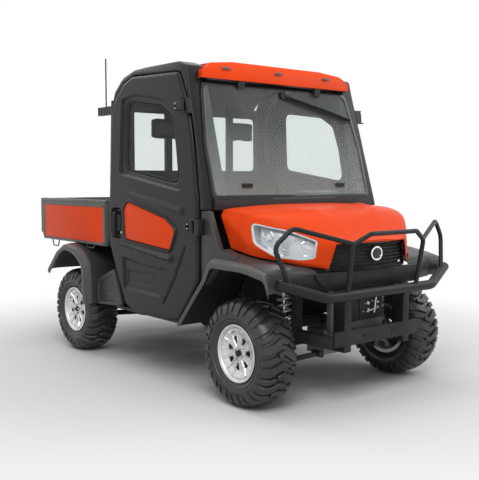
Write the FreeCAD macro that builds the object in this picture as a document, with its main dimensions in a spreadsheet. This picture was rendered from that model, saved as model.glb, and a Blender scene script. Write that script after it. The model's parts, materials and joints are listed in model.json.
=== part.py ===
import FreeCAD, Part
import math
import os
import Sketcher
from FreeCAD import Placement, Rotation, Vector

# Side by side utility vehicle with a closed cab, a tipping bed and a brush guard.
# Millimetres. +Z is up, the vehicle faces -Y, and its right side is -X. The origin is on the
# ground, under the middle of the vehicle. Every height is measured from the axle line, which
# lies one tyre radius above the ground.

# alias, value, meaning
SIZES = [
    ("wheelbase", 2010, "front axle to rear axle"),
    ("front_axle", -1047, "front axle, along Y"),
    ("track_half", 645, "middle plane to tyre centre"),
    ("tyre_radius", 317.5, "ground to axle"),
    ("tyre_width", 245, "tyre section"),
    ("rim_radius", 172, "outer edge of the rim flange"),
    ("rim_width", 205, "flange to flange"),
    ("barrel_radius", 150, "inside of the rim barrel"),
    ("spoke_windows", 7, "windows between the spokes"),
    ("hub_radius", 45, "hub flange"),
    ("kingpin_half", 530, "middle plane to steering axis"),
    ("arch_gap", 18, "tyre to the upright leg of a wheel arch"),
    ("fender_reach", 15, "front fenders past the outer face of the doors"),
    ("rear_fender_reach", 65, "rear fenders past the outer face of the doors"),
    ("fender_wall", 12, "wall of the fenders"),
    ("rail_half", 260, "middle plane to the middle of a frame rail"),
    ("rail_width", 60, "width of a frame rail"),
    ("rail_height", 70, "height of a frame rail"),
    ("rail_front", -1380, "front end of the rails"),
    ("rail_rear", 1490, "rear end of the rails"),
    ("floor_rise", 82.5, "axle line to the cab floor"),
    ("floor_wall", 25, "thickness of the floor and firewall"),
    ("cab_half", 770, "outer face of the doors below the belt"),
    ("cab_lean", 30, "how far the door top leans in"),
    ("cab_rear", 392, "rear face of the cab"),
    ("belt_rise", 882.5, "axle line to the belt of the cab"),
    ("door_top_rise", 1710, "axle line to the top edge of the doors"),
    ("roof_rise", 1777, "axle line to the top of the roof"),
    ("door_front", -705, "front edge of the doors"),
    ("door_rear", 362, "rear edge of the doors"),
    ("door_wall", 40, "thickness of the doors"),
    ("door_gap", 8, "gap round the doors"),
    ("glass_wall", 6, "thickness of the glass"),
    ("glass_lap", 15, "how far the glass laps its frame"),
    ("pillar_depth", 77, "depth of the front pillars"),
    ("pillar_inner", 580, "inner face of the pillars"),
    ("pillar_outer", 640, "outer face of the inner hoop"),
    ("screen_half", 696, "half width of the windscreen at its bottom"),
    ("screen_low", -763, "bottom edge of the windscreen, along Y"),
    ("screen_high", -561, "top edge of the windscreen, along Y"),
    ("screen_low_rise", 885.5, "axle line to the bottom of the windscreen"),
    ("screen_high_rise", 1623.5, "axle line to the top of the windscreen"),
    ("hood_rear", -808, "rear edge of the hood"),
    ("hood_front", -1440, "front face of the hood and grille"),
    ("hood_half", 655, "half width of the hood at its rear edge"),
    ("hood_rise", 850, "axle line to the top of the hood at its rear edge"),
    ("hood_wall", 10, "thickness of the hood"),
    ("lamp_wall", 45, "depth of the headlamps"),
    ("grille_wall", 22, "depth of the grille"),
    ("grille_half", 300, "half width of the grille at its top"),
    ("hinge_reach", 20, "skin of the doors to the axis of their hinges"),
    ("hinge_lean", 0.1326, "run of the door hinge axis along Y for each millimetre of height"),
    ("handle_depth", 30, "depth of the door handle's recess"),
    ("bed_front", 480, "front face of the bed"),
    ("bed_rear", 1525, "rear end of the bed sides"),
    ("bed_half", 740, "outer face of the bed sides"),
    ("bed_floor_rise", 557.5, "axle line to the underside of the bed floor"),
    ("bed_height", 295, "underside of the bed floor to the top of its sides"),
    ("bed_wall", 28, "thickness of the bed sides"),
    ("bed_hinge", 1400, "bed hinge, along Y"),
    ("bed_hinge_rise", 532.5, "axle line to the bed hinge"),
    ("tailgate_wall", 26, "thickness of the tailgate"),
    ("tailgate_gap", 7, "bed sides to the tailgate"),
    ("hoist_foot", 1260, "foot pin of the lift cylinder, along Y"),
    ("hoist_foot_rise", 232.5, "axle line to the foot pin"),
    ("hoist_eye", 1100, "rod eye of the lift cylinder, along Y"),
    ("hoist_eye_rise", 482.5, "axle line to the rod eye"),
    ("hoist_barrel_radius", 32, "outside of the lift cylinder"),
    ("hoist_rod_radius", 15, "rod of the lift cylinder"),
    ("guard_front", -1500, "middle of the main guard tube"),
    ("guard_rise", 350.5, "axle line to the main guard tube"),
    ("guard_radius", 30, "main guard tube"),
    ("hoop_radius", 14, "hoops of the guard"),
    ("fairlead_spacing", 254, "two holes in the bumper plate"),
    ("receiver_inside", 51, "inside of the square hitch receiver"),
    ("receiver_wall", 6.5, "wall of the hitch receiver"),
    ("receiver_reach", 111, "end of the rails to the mouth of the receiver"),
    ("receiver_pin_depth", 60, "mouth of the receiver to its pin hole"),
    ("seat_half_width", 250, "half width of a seat"),
    ("seat_centre", 330, "middle plane to the middle of a seat"),
    ("seat_height", 402.5, "axle line to the top of the seat box"),
    ("cushion_height", 110, "thickness of the seat cushions"),
    ("steering_ring", 175, "radius of the steering wheel"),
]

doc = FreeCAD.newDocument("utility_vehicle")
sheet = doc.addObject("Spreadsheet::Sheet", "Sizes")


class Size:
    """A number with the sheet expression that gives it."""

    def __init__(self, value, text):
        self.value = float(value)
        self.text = text

    def __add__(self, other):
        other = sized(other)
        return Size(self.value + other.value, f"({self.text} + {other.text})")

    def __sub__(self, other):
        other = sized(other)
        return Size(self.value - other.value, f"({self.text} - {other.text})")

    def __mul__(self, other):
        other = sized(other)
        return Size(self.value * other.value, f"({self.text} * {other.text})")

    def __truediv__(self, other):
        other = sized(other)
        return Size(self.value / other.value, f"({self.text} / {other.text})")

    def __radd__(self, other):
        return sized(other) + self

    def __rsub__(self, other):
        return sized(other) - self

    def __rmul__(self, other):
        return sized(other) * self

    def __neg__(self):
        return Size(-self.value, f"(-1 * {self.text})")

    def __float__(self):
        return self.value


def sized(value):
    return value if isinstance(value, Size) else Size(value, repr(float(value)))


class Sheet:
    """Reads the sheet's cells as sizes: size.wheelbase and so on."""


size = Sheet()
for row, (alias, value, meaning) in enumerate(SIZES, 1):
    sheet.set(f"A{row}", meaning)
    sheet.set(f"B{row}", str(value))
    sheet.setAlias(f"B{row}", alias)
    setattr(size, alias, Size(value, f"Sizes.{alias}"))
doc.recompute()

axle = size.tyre_radius
rear_axle = size.front_axle + size.wheelbase
floor_top = axle + size.floor_rise + size.floor_wall
floor_low = axle + size.floor_rise
belt = axle + size.belt_rise
door_top = axle + size.door_top_rise
roof_top = axle + size.roof_rise
screen_bottom = axle + size.screen_low_rise
screen_top = axle + size.screen_high_rise
hood_top = axle + size.hood_rise
pillar_foot = belt - 60
deck = axle + 544.5
bed_low = axle + size.bed_floor_rise
bed_hinge_level = axle + size.bed_hinge_rise
rail_top = floor_low
rail_low = rail_top - size.rail_height
rail_in = size.rail_half - size.rail_width / 2
rail_out = size.rail_half + size.rail_width / 2
bed_shift = rear_axle - 963
bed_rear = size.bed_rear + bed_shift
bed_hinge = size.bed_hinge + bed_shift
rail_rear = size.rail_rear + bed_shift
fender_half = size.cab_half + size.fender_reach
rear_fender_half = size.cab_half + size.rear_fender_reach
hoist_foot = size.hoist_foot + bed_shift
hoist_foot_level = axle + size.hoist_foot_rise
hoist_eye = size.hoist_eye + bed_shift
hoist_eye_level = axle + size.hoist_eye_rise
wheel_tilt = 35
wheel_centre = (size.seat_centre, size.screen_low + 420, belt - 105)
foot_half = size.kingpin_half - 100
hood_axis = (size.hood_rear + 5, hood_top - 12)
hood_hinge_half = 480
seat_top = axle + size.seat_height
handle_low = axle + 620
handle_high = axle + 784
hinge_out = size.cab_half + size.hinge_reach
hinge_levels = [belt - 162, belt + 577]
bed_top = bed_low + size.bed_height
bed_skirt = bed_low - 35
tailgate_axis = (bed_rear + 20, bed_low - 3)

AXES = {"X": Vector(1, 0, 0), "Y": Vector(0, 1, 0), "Z": Vector(0, 0, 1)}
PLANES = {"YZ": "YZ_Plane", "XZ": "XZ_Plane", "XY": "XY_Plane"}
nodes = {}


def bind(thing, **values):
    for name, value in values.items():
        thing.setExpression(name.replace("__", "."), sized(value).text)


def place(thing, x, y, z):
    bind(thing, Placement__Base__x=x, Placement__Base__y=y, Placement__Base__z=z)
    return thing


def block(x_span, y_span, z_span, name="Block"):
    """A box between two values along each axis."""
    box = doc.addObject("Part::Box", name)
    bind(box, Length=x_span[1] - sized(x_span[0]))
    bind(box, Width=y_span[1] - sized(y_span[0]))
    bind(box, Height=z_span[1] - sized(z_span[0]))
    return place(box, x_span[0], y_span[0], z_span[0])


def bar(start, axis, radius, length, name="Bar"):
    """A round bar from start along X, Y or Z."""
    rod = doc.addObject("Part::Cylinder", name)
    rod.Placement = Placement(Vector(), Rotation(AXES["Z"], AXES[axis]))
    bind(rod, Radius=radius, Height=length)
    return place(rod, *start)


def strut(start, end, radius, name="Strut"):
    """A round bar between two points."""
    rod = doc.addObject("Part::Cylinder", name)
    run = [sized(b) - a for a, b in zip(start, end)]
    rod.Placement = Placement(Vector(), Rotation(AXES["Z"], Vector(*[float(part) for part in run])))
    squares = " + ".join(f"{part.text} ^ 2" for part in run)
    rod.setExpression("Height", f"sqrt({squares})")
    bind(rod, Radius=radius)
    return place(rod, *start)


def origin_plane(body, plane):
    return next(f for f in body.Origin.OriginFeatures if getattr(f, "Role", "") == PLANES[plane])


def draw(sketch, loops):
    """Closed outlines of straight lines, each corner held by two bound distances."""
    for loop in loops:
        corners = [(sized(a), sized(b)) for a, b in loop]
        first = sketch.GeometryCount
        ends = zip(corners, corners[1:] + corners[:1])
        lines = [
            Part.LineSegment(Vector(float(p[0]), float(p[1]), 0), Vector(float(q[0]), float(q[1]), 0))
            for p, q in ends
        ]
        sketch.addGeometry(lines, False)
        for index, corner in enumerate(corners):
            following = (index + 1) % len(corners)
            sketch.addConstraint(Sketcher.Constraint("Coincident", first + index, 2, first + following, 1))
            for kind, distance in zip(("DistanceX", "DistanceY"), corner):
                made = sketch.addConstraint(
                    Sketcher.Constraint(kind, -1, 1, first + index, 1, distance.value)
                )
                sketch.setExpression(f"Constraints[{made}]", distance.text)
    return sketch


def sketch_on(body, plane, loops, offset=0.0):
    sketch = body.newObject("Sketcher::SketchObject", "Outline")
    sketch.AttachmentSupport = [(origin_plane(body, plane), "")]
    sketch.MapMode = "FlatFace"
    sketch.setExpression("AttachmentOffset.Base.z", sized(offset).text)
    return draw(sketch, loops)


def pad(body, plane, loops, low, high):
    """Adds a plate with the given outlines between low and high along the plane's normal."""
    offset = -sized(high) if plane == "XZ" else low
    made = body.newObject("PartDesign::Pad", "Plate")
    made.Profile = sketch_on(body, plane, loops, offset)
    bind(made, Length=high - sized(low))
    return made


def panel(plane, loops, low, high, name="Panel"):
    body = doc.addObject("PartDesign::Body", name)
    pad(body, plane, loops, low, high)
    return body


def cut(body, plane, loops):
    """Cuts the outlines right through the body."""
    made = body.newObject("PartDesign::Pocket", "Cut")
    made.Profile = sketch_on(body, plane, loops)
    made.Type = "ThroughAll"
    made.Midplane = True
    return made


def round_edges(body, axis, corners, radius):
    """Rounds the edges that run along axis through the given corners of the other two axes."""
    doc.recompute()
    base = body.Tip
    others = [name for name in "XYZ" if name != axis]
    wanted = [tuple(float(value) for value in corner) for corner in corners]
    names = []
    for number, edge in enumerate(base.Shape.Edges, 1):
        ends = [vertex.Point for vertex in edge.Vertexes]
        if len(ends) < 2:
            continue
        run = ends[1] - ends[0]
        if run.Length < 1e-6 or abs(abs(run.normalize().dot(AXES[axis])) - 1) > 1e-6:
            continue
        spot = [getattr(ends[0], name.lower()) for name in others]
        if any(math.dist(spot, corner) < 0.01 for corner in wanted):
            names.append(f"Edge{number}")
    made = body.newObject("PartDesign::Fillet", "Round")
    made.Base = (base, names)
    bind(made, Radius=radius)
    return made


def mirrored(thing):
    copy = doc.addObject("Part::Mirroring", "Mirrored")
    copy.Source = thing
    copy.Normal = AXES["X"]
    return copy


def joined(things, name="Joined"):
    made = doc.addObject("Part::MultiFuse", name)
    made.Shapes = things
    return made


def minus(thing, tool):
    made = doc.addObject("Part::Cut", "Minus")
    made.Base = thing
    made.Tool = tool
    return made


def shared(thing, tool):
    made = doc.addObject("Part::Common", "Shared")
    made.Base = thing
    made.Tool = tool
    return made


def several(things):
    made = doc.addObject("Part::Compound", "Several")
    made.Links = things
    return made


def both_sides(thing):
    return several([thing, mirrored(thing)])


def bent_tube(points, radius, bend, name="Tube"):
    """A round tube along straight runs with tangent arcs at the corners."""
    corners = [Vector(*[float(value) for value in point]) for point in points]
    edges = []
    start = corners[0]
    for before, corner, after in zip(corners, corners[1:], corners[2:]):
        back = (before - corner).normalize()
        onward = (after - corner).normalize()
        half_turn = (math.pi - back.getAngle(onward)) / 2
        reach = bend * math.tan(half_turn)
        inward = (back + onward).normalize()
        middle = corner + inward * (bend / math.cos(half_turn) - bend)
        edges.append(Part.LineSegment(start, corner + back * reach).toShape())
        arc = Part.Arc(corner + back * reach, middle, corner + onward * reach)
        edges.append(arc.toShape())
        start = corner + onward * reach
    edges.append(Part.LineSegment(start, corners[-1]).toShape())
    ring = Part.Wire(Part.makeCircle(float(radius), corners[0], corners[1] - corners[0]))
    tube = doc.addObject("Part::Feature", name)
    tube.Shape = Part.Wire(edges).makePipeShell([ring], True, False)
    return tube


def node(label, thing):
    """Names the finished object of one sub-part."""
    thing.Label = label
    nodes[label] = thing


def spans(low, high):
    """One span on each side of the middle plane."""
    return [(low, high), (-sized(high), -sized(low))]


def build_chassis_frame():
    rails = [
        block(span, (size.rail_front, rail_rear), (rail_low, rail_top)) for span in spans(rail_in, rail_out)
    ]
    crossings = [
        (size.rail_front + 5, 50),
        (size.front_axle + 280, 50),
        (size.front_axle + 927, 50),
        (size.cab_rear + 2, 50),
        (bed_hinge - 165, 50),
        (rail_rear - 50, 50),
    ]
    beams = [
        block((-rail_in, rail_in), (start, start + depth), (rail_low + 8, rail_top - 8))
        for start, depth in crossings
    ]
    tower = axle + 445
    tower_legs = [
        block(span, (size.front_axle - 25, size.front_axle + 25), (rail_top, tower))
        for span in spans(rail_in + 10, rail_out)
    ]
    tower_beam = block(
        (-size.kingpin_half + 85, size.kingpin_half - 85),
        (size.front_axle - 30, size.front_axle + 30),
        (tower, tower + 40),
    )
    ears = [
        block(span, (hoist_foot - 28, hoist_foot + 28), (rail_low + 8, hoist_foot_level + 28))
        for span in spans(25, 37)
    ]
    foot_pin = bar((-37, hoist_foot, hoist_foot_level), "X", 12, 74)
    return joined(rails + beams + tower_legs + [tower_beam, receiver()] + ears + [foot_pin])


def receiver():
    """Square hitch tube under the last cross member, with its cross pin hole."""
    outer = size.receiver_inside / 2 + size.receiver_wall
    middle = rail_low + 8 - outer
    mouth = rail_rear + size.receiver_reach
    tube = block((-outer, outer), (rail_rear - 110, mouth), (middle - outer, middle + outer))
    inner = size.receiver_inside / 2
    hole = block((-inner, inner), (rail_rear - 111, mouth + 1), (middle - inner, middle + inner))
    pin_hole = bar((-outer - 1, mouth - size.receiver_pin_depth, middle), "X", 8, outer * 2 + 2)
    return minus(minus(tube, hole), pin_hole)


def build_bed_subframe():
    """Posts and rails that carry the bed, with the lugs and pins of its hinge."""
    rail_span = (bed_low - 95, bed_low - 47)
    parts = []
    for span in spans(rail_in, rail_out):
        for start in (size.cab_rear + 60, bed_hinge - 30):
            parts.append(block(span, (start, start + 55), (rail_top, rail_span[0])))
        parts.append(block(span, (size.cab_rear + 60, bed_hinge + 32), rail_span))
    for start in (size.cab_rear + 60, bed_hinge - 28):
        parts.append(block((-rail_in, rail_in), (start, start + 45), rail_span))
    for span in spans(rail_out - 28, rail_out - 10):
        parts.append(block(span, (bed_hinge - 16, bed_hinge + 16), (rail_span[1], bed_hinge_level + 12)))
    for start in (rail_out - 28, -rail_out - 20):
        parts.append(bar((start, bed_hinge, bed_hinge_level), "X", 9, 48))
    lamp_beam = block((-510, 510), (bed_hinge + 32, bed_hinge + 50), (bed_low - 175, bed_low - 115))
    posts = [
        block(span, (bed_hinge + 25, bed_hinge + 32), (bed_low - 175, bed_low - 115))
        for span in spans(rail_in, rail_out)
    ]
    return joined(parts + posts + [lamp_beam])


def build_powertrain():
    """Engine, rear transaxle, front differential and radiator as plain blocks, and the silencer."""
    engine = block((-200, 200), (size.cab_rear + 90, size.cab_rear + 400), (axle + 95, axle + 430))
    transaxle = block((-150, 150), (rear_axle - 70, rear_axle + 140), (axle - 90, axle + 150))
    differential = block((-105, 105), (size.front_axle - 80, size.front_axle + 80), (axle - 85, axle + 75))
    radiator = block(
        (-rail_in + 5, rail_in - 5),
        (size.rail_front + 70, size.rail_front + 120),
        (rail_top, axle + 400),
    )
    return several([engine, transaxle, differential, radiator, build_exhaust()])


def half_shaft(start, end, axle_y):
    boots = []
    for low, inner, outer in ((start, 38, 24), (end - 62, 24, 38)):
        boot = doc.addObject("Part::Cone", "Boot")
        boot.Placement = Placement(Vector(), Rotation(AXES["Z"], AXES["X"]))
        bind(boot, Radius1=inner, Radius2=outer, Height=62)
        boots.append(place(boot, low, axle_y, axle))
    shaft = bar((start, axle_y, axle), "X", 13, end - start)
    return joined([shaft] + boots)


def build_half_shafts():
    front = half_shaft(sized(105), size.kingpin_half - 65, size.front_axle)
    rear = half_shaft(sized(150), size.kingpin_half - 45, rear_axle)
    return several([front, mirrored(front), rear, mirrored(rear)])


def build_suspension_arms():
    """Lower arms in front, trailing arms with the hubs behind."""
    level = axle - 106
    tip = size.kingpin_half
    front_arm = joined(
        [
            strut(
                (rail_in + 15, size.front_axle + side * 165, axle - 40),
                (tip, size.front_axle, level),
                15,
            )
            for side in (-1, 1)
        ]
        + [bar((tip, size.front_axle, level - 16), "Z", 20, 24)]
        + [
            block(
                (tip - 130, tip - 90),
                (size.front_axle - 72, size.front_axle + 72),
                (level + 16, level + 30),
            )
        ]
        + [
            bar((rail_in + 15, size.front_axle + side * 165 - 35, axle - 40), "Y", 20, 70)
            for side in (-1, 1)
        ]
    )
    hub_start = size.kingpin_half - 42
    rear_arm = joined(
        [
            strut(
                (rail_out + 10, rear_axle - 330, axle - 20),
                (hub_start + 20, rear_axle - 20, axle - 55),
                20,
            ),
            strut(
                (rail_in + 15, rear_axle + 150, axle - 35),
                (hub_start + 20, rear_axle + 20, axle - 55),
                16,
            ),
            bar((rail_out - 5, rear_axle - 330, axle - 20), "X", 24, 60),
            bar((hub_start, rear_axle, axle), "X", 62, 60),
            bar((hub_start + 60, rear_axle, axle), "X", 28, size.track_half + 42 - hub_start - 60),
        ]
    )
    return several([front_arm, mirrored(front_arm), rear_arm, mirrored(rear_arm)])


def damper(foot, head):
    """A coil and damper unit as a slim rod with a fat spring tube."""
    quarter = [foot[i] + (sized(head[i]) - foot[i]) * 0.30 for i in range(3)]
    upper = [foot[i] + (sized(head[i]) - foot[i]) * 0.94 for i in range(3)]
    return joined([strut(foot, head, 12), strut(quarter, upper, 30)])


def build_dampers():
    """Units that stand on the lower arms."""
    front = damper(
        (size.kingpin_half - 110, size.front_axle - 58, axle - 77),
        (size.kingpin_half - 140, size.front_axle - 16, axle + 445),
    )
    rear = damper(
        (size.kingpin_half - 139, rear_axle + 78, axle - 44),
        (rail_out + 11, rear_axle + 78, bed_low - 70),
    )
    return several([front, mirrored(front), rear, mirrored(rear)])


def rim_profile():
    """Half section of the barrel, its flanges and the disc, as radius and offset from the centre."""
    half = size.rim_width / 2
    barrel = size.barrel_radius
    return [
        (barrel, -half),
        (size.rim_radius, -half),
        (size.rim_radius, -half + 6),
        (barrel + 6, -half + 12),
        (barrel + 6, half - 12),
        (size.rim_radius, half - 6),
        (size.rim_radius, half),
        (barrel - 3, half),
        (barrel - 10, half - 28),
        (sized(32), half - 22),
        (sized(32), half - 44),
        (barrel, half - 48),
    ]


def tyre_profile():
    half = size.tyre_width / 2
    bead = size.rim_width / 2 - 13
    seat = size.barrel_radius + 6
    return [
        (seat, -bead),
        (size.rim_radius + 2, -bead),
        (size.rim_radius + 10, -half + 16),
        (size.rim_radius + 45, -half),
        (size.tyre_radius - 45, -half),
        (size.tyre_radius - 10, -half + 18),
        (size.tyre_radius, -half + 48),
        (size.tyre_radius, half - 48),
        (size.tyre_radius - 10, half - 18),
        (size.tyre_radius - 45, half),
        (size.rim_radius + 45, half),
        (size.rim_radius + 10, half - 16),
        (size.rim_radius + 2, bead),
        (seat, bead),
    ]


def turned(profile):
    """A body turned about the wheel's axle, which runs along X through the centre."""
    body = doc.addObject("PartDesign::Body", "Turned")
    made = body.newObject("PartDesign::Revolution", "Turn")
    outline = [(across, out) for out, across in profile]
    made.Profile = sketch_on(body, "XZ", [outline])
    made.ReferenceAxis = (made.Profile[0], ["H_Axis"])
    made.Angle = 360
    return body


def rim():
    """Outer face towards +X. The windows leave wide spokes between them."""
    body = turned(rim_profile())
    windows = body.newObject("PartDesign::Pocket", "Window")
    low = size.hub_radius + 15
    high = size.barrel_radius - 48
    outline = [(-7, low), (7, low), (17, high - 8), (9, high), (-9, high), (-17, high - 8)]
    windows.Profile = sketch_on(body, "YZ", [outline], 10)
    windows.Type = "ThroughAll"
    windows.Reversed = True
    doc.recompute()
    pattern = body.newObject("PartDesign::PolarPattern", "Windows")
    pattern.Originals = [windows]
    pattern.Axis = (windows.Profile[0], ["N_Axis"])
    pattern.Angle = 360
    bind(pattern, Occurrences=size.spoke_windows)
    body.Tip = pattern
    return body


def build_wheels():
    corners = {
        "front_left": (1, size.front_axle),
        "front_right": (-1, size.front_axle),
        "rear_left": (1, rear_axle),
        "rear_right": (-1, rear_axle),
    }
    for corner, (side, along) in corners.items():
        for label, body in ((f"rim_{corner}", rim()), (f"tyre_{corner}", turned(tyre_profile()))):
            copy = doc.addObject("Part::Compound", "Wheel")
            copy.Links = [body]
            copy.Placement = Placement(Vector(), Rotation(AXES["Z"], 0 if side > 0 else 180))
            place(copy, size.track_half * side, along, axle)
            node(label, copy)


def knuckle():
    """Upright of a front wheel: hub, stub axle, kingpin boss and steering arm."""
    pin = size.kingpin_half
    hub = bar((pin - 35, size.front_axle, axle), "X", 60, 75)
    stub = bar((pin + 40, size.front_axle, axle), "X", 28, size.track_half + 42 - pin - 40)
    post = bar((pin, size.front_axle, axle - 80), "Z", 20, 170)
    arm = block((pin - 34, pin - 6), (size.front_axle, size.front_axle + 128), (axle + 8, axle + 20))
    return joined([hub, stub, post, arm])


def build_steering_rack():
    """Rack bar with the two tie rods, ending under the steering arms."""
    along = size.front_axle + 116
    reach = size.kingpin_half - 20
    rack = bar((-reach, along, axle - 5), "X", 10, reach * 2)
    ends = [bar((side * reach, along, axle - 18), "Z", 14, 23) for side in (-1, 1)]
    return joined([rack] + ends)


def wheel_axis():
    lean = math.radians(wheel_tilt)
    return Vector(0, math.cos(lean), math.sin(lean))


def build_steering_wheel():
    """Ring, hub and three spokes, built flat and then tilted to face the driver."""
    ring = doc.addObject("Part::Torus", "Ring")
    bind(ring, Radius1=size.steering_ring, Radius2=14)
    hub = bar((0, 0, -30), "Z", 42, 45)
    spokes = []
    for turn in (90, 210, 330):
        spoke = block((0, size.steering_ring), (-14, 14), (-6, 6), "Spoke")
        holder = several([spoke])
        holder.Placement = Placement(Vector(), Rotation(AXES["Z"], turn))
        spokes.append(holder)
    wheel = several([joined([ring, hub] + spokes)])
    wheel.Placement = Placement(Vector(), Rotation(AXES["Z"], wheel_axis()))
    return place(wheel, *wheel_centre)


def build_column():
    """Steering shaft from the dash to just short of the steering wheel."""
    axis = wheel_axis()
    start = [wheel_centre[i] - 230 * value for i, value in enumerate((axis.x, axis.y, axis.z))]
    end = [wheel_centre[i] - 36 * value for i, value in enumerate((axis.x, axis.y, axis.z))]
    return strut(start, end, 30)


def build_dashboard():
    front = size.screen_low + 12
    low = belt - 330
    outline = [
        (front, low),
        (front + 170, low),
        (front + 250, low + 120),
        (front + 235, belt - 40),
        (front + 150, belt),
        (front, belt - 4),
    ]
    dash = panel("YZ", [outline], -size.pillar_inner + 2, size.pillar_inner - 2)
    hood_low = belt - 2
    cluster_outline = [
        (front + 60, hood_low),
        (front + 235, hood_low - 40),
        (front + 230, hood_low + 34),
        (front + 150, hood_low + 52),
        (front + 90, hood_low + 42),
    ]
    cluster = panel("YZ", [cluster_outline], size.seat_centre - 190, size.seat_centre + 170)
    return joined([dash, cluster, build_column()])


def arch_line():
    """Inner edge of the front wheel arch, from the door sill forward over the wheel."""
    mid = size.front_axle
    back = mid + size.tyre_radius + size.arch_gap
    return [
        (back + 207.5, floor_low + 5),
        (back - 145.5, deck - 57),
        (mid + 77, deck - 45),
        (mid - 83, deck - 37),
        (mid - 213, deck - 54),
        (mid - 288, deck - 70),
    ]


def arch_band():
    inner = arch_line()
    wall = size.fender_wall
    outer = [(y + shift, z + wall) for (y, z), shift in zip(inner, (15, 3, 0, 0, -2, -2))]
    outer[0] = (inner[0][0] + wall * 1.3, inner[0][1])
    return inner + outer[::-1]


def arch_slope():
    """Height gained by the rear leg of the front arch for each millimetre forward."""
    foot, knee = arch_line()[:2]
    return (knee[1] - foot[1]) / (foot[0] - knee[0])


def build_cab_tub():
    """Floor, foot box between the front wheels, firewall, dash shelf and rear bulkhead."""
    wall = size.floor_wall
    arch = arch_line()
    wide = size.cab_half - 50
    floor_front = arch[0][0] + 20
    firewall = size.screen_low + 60
    scuttle = size.screen_low + 12
    shelf = belt - 330
    floor = block((-wide, wide), (floor_front, size.cab_rear - 42), (floor_low, floor_top))
    foot = block((-foot_half, foot_half), (firewall, floor_front), (floor_low, floor_top))
    front = block((-foot_half, foot_half), (firewall - wall, firewall), (floor_low, shelf))
    inner = size.pillar_inner
    brow = block((-inner, inner), (firewall - wall, firewall), (arch[1][1] + 14, shelf))
    ledge = block((-inner, inner), (scuttle - wall, firewall), (shelf - wall, shelf))
    upper = block((-inner, inner), (scuttle - wall, scuttle), (shelf - wall, pillar_foot))
    peak = arch[1][1] - (firewall - arch[1][0]) * arch_slope()
    cheek = [(firewall, floor_top), (floor_front, floor_top), (firewall, peak)]
    cheeks = [panel("YZ", [cheek], low, high) for low, high in spans(foot_half - 15, foot_half)]
    rear = block((-wide, wide), (size.cab_rear - 42, size.cab_rear - 18), (floor_low, bed_low - 40))
    return joined([floor, foot, front, brow, ledge, upper, rear] + cheeks)


def hood_side_line():
    """Lower side edge of the hood, from the cowl down its slanted rear end and forward, as Y and height."""
    return [
        (size.hood_rear + 18, hood_top - 42),
        (size.hood_rear - 82, hood_top - 255),
        (size.front_axle - 24, deck + 22),
        (size.front_axle - 174, deck - 16),
        (size.front_axle - 308, deck - 40),
    ]


def front_fender():
    """Left front fender: the arch shell and the side panel below and behind the hood."""
    body = panel("YZ", [arch_band()], foot_half + 12, fender_half)
    gap = size.door_gap
    top, corner, middle, front = hood_side_line()[:4]
    arch = arch_line()
    rear = size.door_front - gap
    low = arch[1][1] - (rear - arch[1][0]) * arch_slope() + 4
    outline = [
        (rear, low + 6),
        (rear, pillar_foot),
        (top[0] + gap, pillar_foot),
        (top[0] + gap * 0.9, top[1] - gap * 0.4),
        (corner[0] + gap * 0.9, corner[1] - gap),
        (middle[0], middle[1] - gap),
        (front[0], front[1] - gap),
    ]
    under = [(y, z + 6) for y, z in arch[1:5]]
    pad(body, "YZ", [outline + under[::-1]], size.cab_half - 65, size.cab_half - 20)
    return body


def build_front_fascia():
    """Black lower front panel under the grille, with wings that run back to the fenders."""
    face = size.hood_front + 12
    low = deck - 172
    outline = [
        (-470, deck - 95),
        (-380, low),
        (380, low),
        (470, deck - 95),
        (470, deck - 68),
        (-470, deck - 68),
    ]
    parts = [panel("XZ", [outline], face, face + 30)]
    wing = [(370, face), (600, face + 60), (600, face + 85), (370, face + 30)]
    left = panel("XY", [wing], low + 10, deck - 97)
    step = panel("XY", [wing], deck - 97, deck - 85)
    return joined(parts + [left, step, mirrored(left), mirrored(step)])


def rear_arch_line():
    """Inner edge of the band over the rear wheel, from its front foot back."""
    front_leg = rear_axle - size.tyre_radius - size.arch_gap
    return [
        (front_leg, floor_low + 8),
        (front_leg + 8, floor_low + 180),
        (front_leg + 24, deck - 172),
        (front_leg + 62, deck - 124),
        (front_leg + 172, deck - 61),
        (front_leg + 337, deck - 41),
        (front_leg + 462, deck - 105),
        (front_leg + 622, deck - 255),
    ]


def rear_fender():
    """Band over the rear wheel."""
    inner = rear_arch_line()
    wall = size.fender_wall
    shifts = ((-1, 0), (-1, 0.2), (-1, 0.4), (-0.7, 0.8), (-0.3, 1), (0.3, 1), (0.7, 0.9), (0.9, 0.9))
    outer = [(y + wall * a, z + wall * b) for (y, z), (a, b) in zip(inner, shifts)]
    return panel("YZ", [inner + outer[::-1]], rear_fender_half - 300, rear_fender_half)


def side_cover():
    """Panel between the door and the rear wheel."""
    rear = rear_arch_line()[0][0] - size.fender_wall
    front = size.door_rear
    outline = [
        (rear, floor_low + 4),
        (front - 127, floor_low + 30),
        (front - 17, floor_low + 290),
        (rear, floor_low + 188),
    ]
    return panel("YZ", [outline], size.cab_half - 48, size.cab_half - 20)


def roof_line():
    """Outline of the cab's roof in side view, from the windscreen back and down to the rear face."""
    return [
        (size.screen_high + 12, screen_top + 24),
        (size.screen_high + 26, roof_top - 64),
        (size.screen_high + 131, roof_top - 30),
        (size.cab_rear - 448, roof_top - 27),
        (size.cab_rear - 298, roof_top - 31),
        (size.cab_rear - 167, roof_top - 68),
        (size.cab_rear - 57, roof_top - 158),
        (size.cab_rear - 18, roof_top - 260),
    ]


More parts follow.
